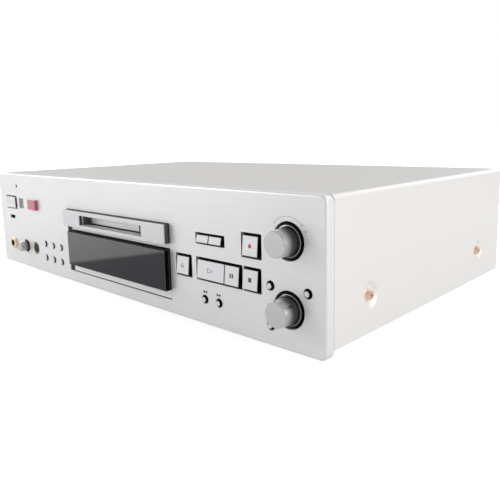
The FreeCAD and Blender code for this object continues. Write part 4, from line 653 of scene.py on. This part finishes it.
socket_rings = [(3.95 * MM, (0.015, 0.014, 0.012)), (4.75 * MM, (0.42, 0.36, 0.20))]
lamp_rings = [(1.05 * MM, (0.03, 0.02, 0.02))]
finish_on(ringed("keyboard_socket", middle("keyboard_jack"), (0.10, 0.085, 0.05),
                 socket_rings, 0.6, 0.3), "keyboard_jack")
finish_on(ringed("lamp_lens", middle("standby_lamp"), (0.62, 0.55, 0.55), lamp_rings, 0.0, 0.15),
          "standby_lamp")
print(len(socket_rings), "rings on the keyboard socket,", len(lamp_rings), "on the lamp")

# %% [markdown]
# The rear line sockets are gold sleeves on one black plate. The plate is a thin layer on the
# rear panel, so the depth along Y tells it from the sleeves.

# %% Line sockets
SOCKET_PLATE = 1.3 * MM


def line_socket(name, colour, plate_back):
    """Gold sleeves on a black plate: the plate is what lies before a depth along Y."""
    shader = Shader(name)
    wear = shader.noise(400.0, 3.0)
    sleeve = shader.axis("Y") > plate_back
    gold = shader.vary(wear, colour, 0.85, 1.0)
    shader.set(Base_Color=shader.mix(sleeve, (0.02, 0.02, 0.021), gold), Metallic=sleeve,
               Roughness=wear.around(0.25, 0.1))
    return shader


rear_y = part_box("rear_panel")[1][1]
finish_on(line_socket("line_gold", (0.85, 0.64, 0.30), rear_y + SOCKET_PLATE), "line_jacks")
print("line sockets on a plate", round(SOCKET_PLATE / MM, 1), "mm thick")

# %% [markdown]
# Inside are plated steel sheets, green boards with dark parts on them, steel cans, a dark
# transformer and white gears. They show only from behind, below or through the slot, but each
# has its finish.

# %% Inner parts
BOARD_THICK = 1.6 * MM


def sheet_steel(name, colour, roughness):
    """Zinc-plated sheet: a fine rolled grain along X with slow spangle."""
    shader = Shader(name)
    rolled = shader.noise(900.0, 2.0, shader.stretched((0.03, 1.0, 1.0)))
    spangle = shader.noise(40.0, 1.0)
    shader.set(Base_Color=shader.vary(rolled, colour, 0.92, 1.05), Metallic=0.9,
               Roughness=spangle.around(rolled.around(roughness, 0.15), 0.08))
    shader.bump(rolled, 0.006 * MM, 0.4)
    return shader


def loaded_board(name, letter, face, way):
    """Green laminate, with dark parts where a point lies beyond the board's face."""
    shader = Shader(name)
    part = (shader.axis(letter) - face) * way > HAIR
    cloud = shader.noise(300.0, 2.0)
    laminate = shader.mix(cloud, (0.025, 0.115, 0.05), (0.035, 0.145, 0.07))
    housing = shader.mix(cloud, (0.03, 0.03, 0.032), (0.05, 0.05, 0.052))
    shader.set(Base_Color=shader.mix(part, laminate, housing),
               Roughness=cloud.around(0.35, 0.1))
    return shader


finish_on(sheet_steel("tray_steel", (0.56, 0.57, 0.58), 0.35), "chassis_tray")
finish_on(sheet_steel("mechanism_steel", (0.60, 0.61, 0.62), 0.3), "mechanism_chassis",
          "disc_holder", "loading_slide", "guide_rods", "lead_screw", "jog_shaft")
finish_on(sheet_steel("can_steel", (0.50, 0.50, 0.50), 0.28), "drive_motors")
board_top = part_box("main_board")[0][2] + BOARD_THICK
board_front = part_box("key_boards")[1][1] - BOARD_THICK
finish_on(loaded_board("main_board_green", "Z", board_top, 1), "main_board")
finish_on(loaded_board("key_board_green", "Y", board_front, -1), "key_boards")
finish_on(moulded("gear_white", (0.75, 0.74, 0.70), 0.4), "loading_gear", "turntable")
finish_on(moulded("sled_black", (0.03, 0.03, 0.035), 0.4), "optical_sled")
finish_on(moulded("core_grey", (0.09, 0.09, 0.095), 0.5, grain=500.0), "power_transformer")
print("inner parts done")

# %% [markdown]
# The symbols on the keys and the marks on the face are screen prints: flat shapes of ink a
# few hundredths of a millimetre thick. Each is a closed outline carried up through that
# thickness, worked out as one array of rings. The rings could also be swept by a modifier on
# a curve, but as numbers they stay exact at this size.

# %% Meshes of rings


def ring_mesh(name, rings, closed):
    """A mesh of rings of equal count: neighbours are joined by quads, as numpy index arrays."""
    count, around = rings.shape[:2]
    index = np.arange(count * around).reshape(count, around)
    first = index if closed else index[:-1]
    second = np.roll(index, -1, 0) if closed else index[1:]
    quads = np.stack([first, np.roll(first, -1, 1), np.roll(second, -1, 1), second], -1)
    faces = [tuple(int(corner) for corner in quad) for quad in quads.reshape(-1, 4)]
    if not closed:
        faces.append(tuple(int(corner) for corner in index[0][::-1]))
        faces.append(tuple(int(corner) for corner in index[-1]))
    mesh = bpy.data.meshes.new(name)
    mesh.from_pydata([tuple(point) for point in rings.reshape(-1, 3)], [], faces)
    mesh.update()
    return mesh


print("ring meshes ready")

# %% [markdown]
# A print lies on its key's own leaning plane, or on the face. It starts a little below the
# plane, so that no gap shows under it, and rides on the body that carries it.

# %% Pieces of ink
INK = 0.03 * MM
SUNK = INK / 3


def plane_points(outline, rise, plane):
    """Points of a flat outline on a plane given as centre, across, up and outward."""
    centre, across, up, outward = (np.array(vector) for vector in plane)
    flat = np.array(outline)
    return centre + flat[:, :1] * across + flat[:, 1:] * up + rise * outward


def detail(name, mesh, body, shader, slot):
    """Puts a new mesh in the scene with its finish, on the body that carries it."""
    piece = bpy.data.objects.new(name, mesh)
    bpy.context.collection.objects.link(piece)
    mesh.materials.append(shader.material)
    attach(piece, body)


def printed(name, outlines, plane, body, shader, slot):
    """One piece of ink: a solid outline, or a pair of outlines with the ink between them."""
    outer, inner = outlines[0], outlines[-1]
    rings = [plane_points(outer, -SUNK, plane), plane_points(outer, INK, plane)]
    hollow = len(outlines) > 1
    if hollow:
        rings += [plane_points(inner, INK, plane), plane_points(inner, -SUNK, plane)]
    detail(name, ring_mesh(name, np.array(rings), closed=hollow), body, shader, slot)


print("ink", round(INK / MM, 3), "mm thick")

# %% [markdown]
# The prints need few outlines: an upright bar, an arrow, and a smaller copy of either that
# leaves a line of ink between the two. The ink itself is a dark grey, worn in places.

# %% Outlines and ink


def bar(width, tall, x=0.0, z=0.0):
    """Corners of an upright rectangle, counter-clockwise."""
    half, rise = width / 2, tall / 2
    return [(x - half, z - rise), (x + half, z - rise), (x + half, z + rise), (x - half, z + rise)]


def arrow(width, tall, x=0.0):
    """Corners of a triangle that points along +X, or along -X for a negative width."""
    return [(x - width / 2, -tall / 2), (x + width / 2, 0.0), (x - width / 2, tall / 2)]


def shrunk(outline, factor):
    """The outline drawn in towards its mean point."""
    flat = np.array(outline)
    heart = flat.mean(0)
    return heart + (flat - heart) * factor


def worn_ink(name, darkest, lightest, roughness):
    """Ink whose grey and roughness vary together."""
    shader = Shader(name)
    wear = shader.noise(3000.0, 2.0)
    shader.set(Base_Color=shader.mix(wear, darkest, lightest), Roughness=roughness + wear * 0.1)
    return shader


dark_ink = worn_ink("dark_ink", (0.05, 0.05, 0.06), (0.09, 0.09, 0.10), 0.45)
print("dark ink mixed")

# %% [markdown]
# The square keys lean: their lower edge stands further out than their upper edge. Their face
# is the plane through those two edges, so its centre, its way up and its outward normal
# follow from the same two distances as in the CAD piece.

# %% Planes of the keys and of the face
LEAN_TOP, LEAN_LOW = 0.8 * MM, 2.0 * MM
ACROSS = (1.0, 0.0, 0.0)
UP = (0.0, 0.0, 1.0)


def key_plane(node):
    """Centre, across, up and outward of a leaning key's face."""
    low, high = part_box(node)
    slant = Vector((0.0, LEAN_LOW - LEAN_TOP, high[2] - low[2])).normalized()
    centre = middle(node)
    centre.y = face_y - (LEAN_TOP + LEAN_LOW) / 2
    return centre, ACROSS, slant, Vector((0.0, -slant.z, slant.y))


def face_plane(x, z):
    """A place on the flat face."""
    return (x, face_y, z), ACROSS, UP, (0.0, -1.0, 0.0)


print("play key's face", [round(value, 4) for value in key_plane("play_button")[0]])

# %% [markdown]
# Each transport key carries one generic sign. Play and eject are arrows drawn as a line of
# ink, with a solid bar under the one for eject, and pause and stop are solid too. The sizes
# are shares of one length, so that the signs keep their proportions.

# %% Symbols on the transport keys
SYMBOL = 2.6 * MM


def on_key(name, outlines, node):
    """Prints a symbol on a key, in dark ink, so that it moves with the key."""
    printed(name, outlines, key_plane(node), node + "_body", dark_ink, "key_silver")


play = arrow(SYMBOL * 2.2, SYMBOL * 1.35)
on_key("play_mark", [play, shrunk(play, 0.76)], "play_button")
for side, label in ((-1, "left"), (1, "right")):
    pause = bar(SYMBOL * 0.5, SYMBOL * 1.1, side * SYMBOL * 0.38)
    on_key(f"pause_mark_{label}", [pause], "pause_button")
on_key("stop_mark", [bar(SYMBOL * 1.05, SYMBOL * 1.05)], "stop_button")
lift = np.array(arrow(SYMBOL * 0.85, SYMBOL * 1.35))[::-1, ::-1] + (0.0, SYMBOL * 0.25)
on_key("eject_mark_arrow", [lift, shrunk(lift, 0.72)], "eject_button")
on_key("eject_mark_bar", [bar(SYMBOL * 1.35, SYMBOL * 0.22, 0.0, -SYMBOL * 0.45)],
       "eject_button")
print("transport symbols printed")

# %% [markdown]
# The skip keys are too small for a sign, so theirs is printed on the face above them: two
# arrows in a row, which point back for one key and ahead for the other.

# %% Symbols above the skip keys
SKIP = 2.3 * MM
SKIP_LIFT = 5.3 * MM
for node, way in (("rewind_button", -1), ("forward_button", 1)):
    spot = middle(node)
    plane = face_plane(spot.x, spot.z + SKIP_LIFT)
    for step, label in ((-0.5, "left"), (0.5, "right")):
        shape = arrow(way * SKIP, SKIP, step * SKIP)[::way]
        printed(f"{node}_mark_{label}", [shape], plane, "case", dark_ink, "front_silver")
print("skip symbols printed")

# %% [markdown]
# The record key has a red dot: a drop of enamel in a shallow spot. It is a low dome, a
# quarter-circle profile turned about the face's normal.

# %% Red dot
DOT_RADIUS = 1.4 * MM
DOT_RISE = 0.15 * MM
DOT_FOOT = 0.1 * MM


def dome(name, radius, rise, plane, body, shader, slot, sides=32, rows=5):
    """A low dome: ring i has radius r cos(t) and height h sin(t) for t from 0 to a quarter turn."""
    t = np.linspace(0.0, math.pi / 2, rows)[:-1, None]
    angle = np.linspace(0.0, 2 * math.pi, sides, endpoint=False)[None]
    centre, across, up, outward = (np.array(vector) for vector in plane)
    flat = radius * np.cos(t)
    level = rise * np.sin(t) + 0 * angle
    rings = (centre + (flat * np.cos(angle))[..., None] * across
             + (flat * np.sin(angle))[..., None] * up + level[..., None] * outward)
    foot = rings[:1] - DOT_FOOT * outward
    mesh = ring_mesh(name, np.concatenate([foot, rings]), closed=False)
    mesh.polygons.foreach_set("use_smooth", np.ones(len(mesh.polygons), dtype=bool))
    detail(name, mesh, body, shader, slot)


dome("record_dot", DOT_RADIUS, DOT_RISE, key_plane("record_button"), "record_button_body",
     glossy("dot_red", (0.60, 0.03, 0.06)), "emblem_red")
print("record dot", round(2 * DOT_RADIUS / MM, 1), "mm wide")

# %% [markdown]
# Round the record level knob runs a thin printed arc with a dot at each end, and one more dot
# further down on the right. The arc is a narrow band between two radii, swept through its
# angle: a small rectangle of ink carried from ring to ring, so that its bent face stays flat.

# %% Level scale
ARC_RADIUS = 14.6 * MM
ARC_WIDTH = 0.22 * MM
ARC_FROM, ARC_TO = 50.0, 130.0
ARC_STEPS = 28
ARC_DOT = 0.45 * MM
DOT_GAP, FAR_GAP = 4.0, 22.0
scale_centre = middle("record_level_knob")


def arc_rings(radius, width, start, end, plane):
    """Rings of four points along an arc: outer and inner edge on top, then inner and outer foot."""
    angle = np.radians(np.linspace(start, end, ARC_STEPS))
    ray = np.stack([np.cos(angle), np.sin(angle)], 1)
    outer, inner = ray * (radius + width / 2), ray * (radius - width / 2)
    rails = [plane_points(outer, INK, plane), plane_points(inner, INK, plane),
             plane_points(inner, -SUNK, plane), plane_points(outer, -SUNK, plane)]
    return np.stack(rails, 1)


arc = arc_rings(ARC_RADIUS, ARC_WIDTH, ARC_FROM, ARC_TO, face_plane(scale_centre.x, scale_centre.z))
detail("level_arc", ring_mesh("level_arc", arc, closed=False), "case",
       worn_ink("grey_ink", (0.22, 0.22, 0.23), (0.30, 0.30, 0.31), 0.5), "front_silver")
dot_angles = {"right": ARC_FROM - DOT_GAP, "left": ARC_TO + DOT_GAP, "far_right": ARC_FROM - FAR_GAP}
for label, angle in dot_angles.items():
    spot = (scale_centre.x + ARC_RADIUS * math.cos(math.radians(angle)),
            scale_centre.z + ARC_RADIUS * math.sin(math.radians(angle)))
    dome(f"level_dot_{label}", ARC_DOT, INK, face_plane(*spot), "case", dark_ink,
         "front_silver", sides=16, rows=3)
print("level scale with", len(dot_angles), "dots")

# %% [markdown]
# The side screws have a cross recess. From outside it is a dark cross on the copper head, so
# a thin star of painted shade, four slanted points, lies just proud of each head: two corners,
# turned four times by a quarter.

# %% Screw recesses
CROSS_LONG, CROSS_WIDE = 3.6 * MM, 0.8 * MM
SCREW_EDGE = 3.8 * MM


def cross(length, width):
    """Eight corners, counter-clockwise: an inner and an outer one for each quarter turn."""
    far, near = length / 2, width / 2
    corners = np.array([(near, near), (near, far)])
    turns = [np.array([[math.cos(angle), math.sin(angle)], [-math.sin(angle), math.cos(angle)]])
             for angle in np.arange(4) * math.pi / 2]
    return np.concatenate([corners @ turn for turn in turns])


# Painted shade: a dark cross where the recess is.
recess_shade = Shader("recess_shadow")
recess_shade.set(Base_Color=recess_shade.mix(recess_shade.noise(2000.0, 2.0), (0.10, 0.04, 0.02), (0.18, 0.08, 0.05)),
           Roughness=0.5, Metallic=0.6)
screw_low, screw_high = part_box("cover_screws")
screw_z = middle("cover_screws").z
for side, hand, x in ((-1, "left", screw_low[0]), (1, "right", screw_high[0])):
    for label, y in (("front", screw_low[1] + SCREW_EDGE), ("rear", screw_high[1] - SCREW_EDGE)):
        plane = ((x, y, screw_z), (0.0, side, 0.0), UP, (side, 0.0, 0.0))
        printed(f"screw_cross_{label}_{hand}", [cross(CROSS_LONG, CROSS_WIDE)], plane, "case",
                recess_shade, "copper_screw")
print("four screw recesses")

# %% [markdown]
# The table is a plain white floor that keeps the deck's shadow. Most of its brightness is its
# own, for camera rays only, so that the open floor reads white like the background. In front
# of the deck it has a dim patch with a slanted edge, as a shadow on the real table had. Only
# perfectly sharp reflections see it, and the polished display window makes the only ones: it
# mirrors the patch's edge as a lighter wedge above a darker one.

# %% Floor
FLOOR_REACH = 6.0
FLOOR_TONE, PATCH_TONE = (0.88, 0.88, 0.88), (0.2, 0.2, 0.2)
FLOOR_GLOW = 0.83
SLANT_X, SLANT_Y = -0.1905, -0.1975
NORMAL_X, NORMAL_Y = 0.942, 0.336
SLANT_FROM, SLANT_TO = -0.012, 0.014
PATCH_RIGHT, PATCH_AHEAD = 0.03, -0.80
PATCH_FADE = 0.06
WHITE = (1.0, 1.0, 1.0)


def make_floor():
    """A large flat sheet under the feet. Its dim patch starts at a slanted line, given by one
    point and a direction across it, and fades out at its right and far ahead of the deck."""
    shader = Shader("floor_white")
    seen = shader.node("ShaderNodeLightPath", output="Is Camera Ray")
    mirrored = shader.node("ShaderNodeLightPath", output="Is Singular Ray")
    x, y = shader.axis("X"), shader.axis("Y")
    past_slant = (x - SLANT_X) * NORMAL_X + (y - SLANT_Y) * NORMAL_Y
    near = ((y - PATCH_AHEAD).between(0.0, PATCH_FADE)
            * (1.0 - (x - PATCH_RIGHT).between(0.0, PATCH_FADE)))
    dim = past_slant.between(SLANT_FROM, SLANT_TO) * near * mirrored
    shader.set(Base_Color=shader.mix(dim, FLOOR_TONE, PATCH_TONE), Roughness=0.9,
               Emission_Color=WHITE, Emission_Strength=seen * FLOOR_GLOW)
    mesh = bpy.data.meshes.new("floor")
    corners = [(*corner, 0.0) for corner in bar(2 * FLOOR_REACH, 2 * FLOOR_REACH)]
    mesh.from_pydata(corners, [], [(0, 1, 2, 3)])
    mesh.materials.append(shader.material)
    floor = bpy.data.objects.new("floor", mesh)
    bpy.context.collection.objects.link(floor)


make_floor()
print("floor", 2 * FLOOR_REACH, "m wide")

# %% [markdown]
# The sky is white for the camera and through clear parts, at a strength of 1. What lights the
# deck, and what its metal mirrors, is a dimmer sky, so that pale surfaces don't clip to white.

# %% Surroundings
SKY_LIGHT = 0.60
world = bpy.data.worlds.new("studio")
world.use_nodes = True
bpy.context.scene.world = world
sky = Tree(world.node_tree)
background = sky.tree.nodes["Background"]
direct = sky.node("ShaderNodeLightPath", output="Is Camera Ray").math(
    "MAXIMUM", sky.node("ShaderNodeLightPath", output="Is Transmission Ray"))
sky.feed(background.inputs["Color"], WHITE)
sky.feed(background.inputs["Strength"], SKY_LIGHT + direct * (1.0 - SKY_LIGHT))
print("white surroundings, which light the deck at", SKY_LIGHT)

# %% [markdown]
# Four large soft lamps make the studio light. The key lamp on the left grades the face from
# left to right. A weaker one stands further off, so its light comes in lower and more from
# the front. One on the right keeps the side bright, and one behind lights the top and the rear.

# %% Lamps
AIM = Vector((0.0, 0.0, 0.05))


def soft_lamp(name, place, size, power):
    """A square area lamp that faces the middle of the deck."""
    data = bpy.data.lights.new(name, "AREA")
    data.shape = "SQUARE"
    data.size = size
    data.energy = power
    lamp = bpy.data.objects.new(name, data)
    lamp.location = place
    lamp.rotation_euler = (AIM - Vector(place)).to_track_quat("-Z", "Y").to_euler()
    bpy.context.collection.objects.link(lamp)


soft_lamp("key_lamp", (-0.9, -0.7, 0.5), 0.6, 5.0)
soft_lamp("low_lamp", (-1.3, -2.0, 0.5), 1.0, 1.6)
soft_lamp("side_lamp", (1.6, 0.2, 0.6), 1.0, 11.5)
soft_lamp("back_lamp", (0.3, 1.8, 1.0), 1.2, 5.6)
bpy.context.scene.view_settings.view_transform = "Standard"
print("four lamps placed")
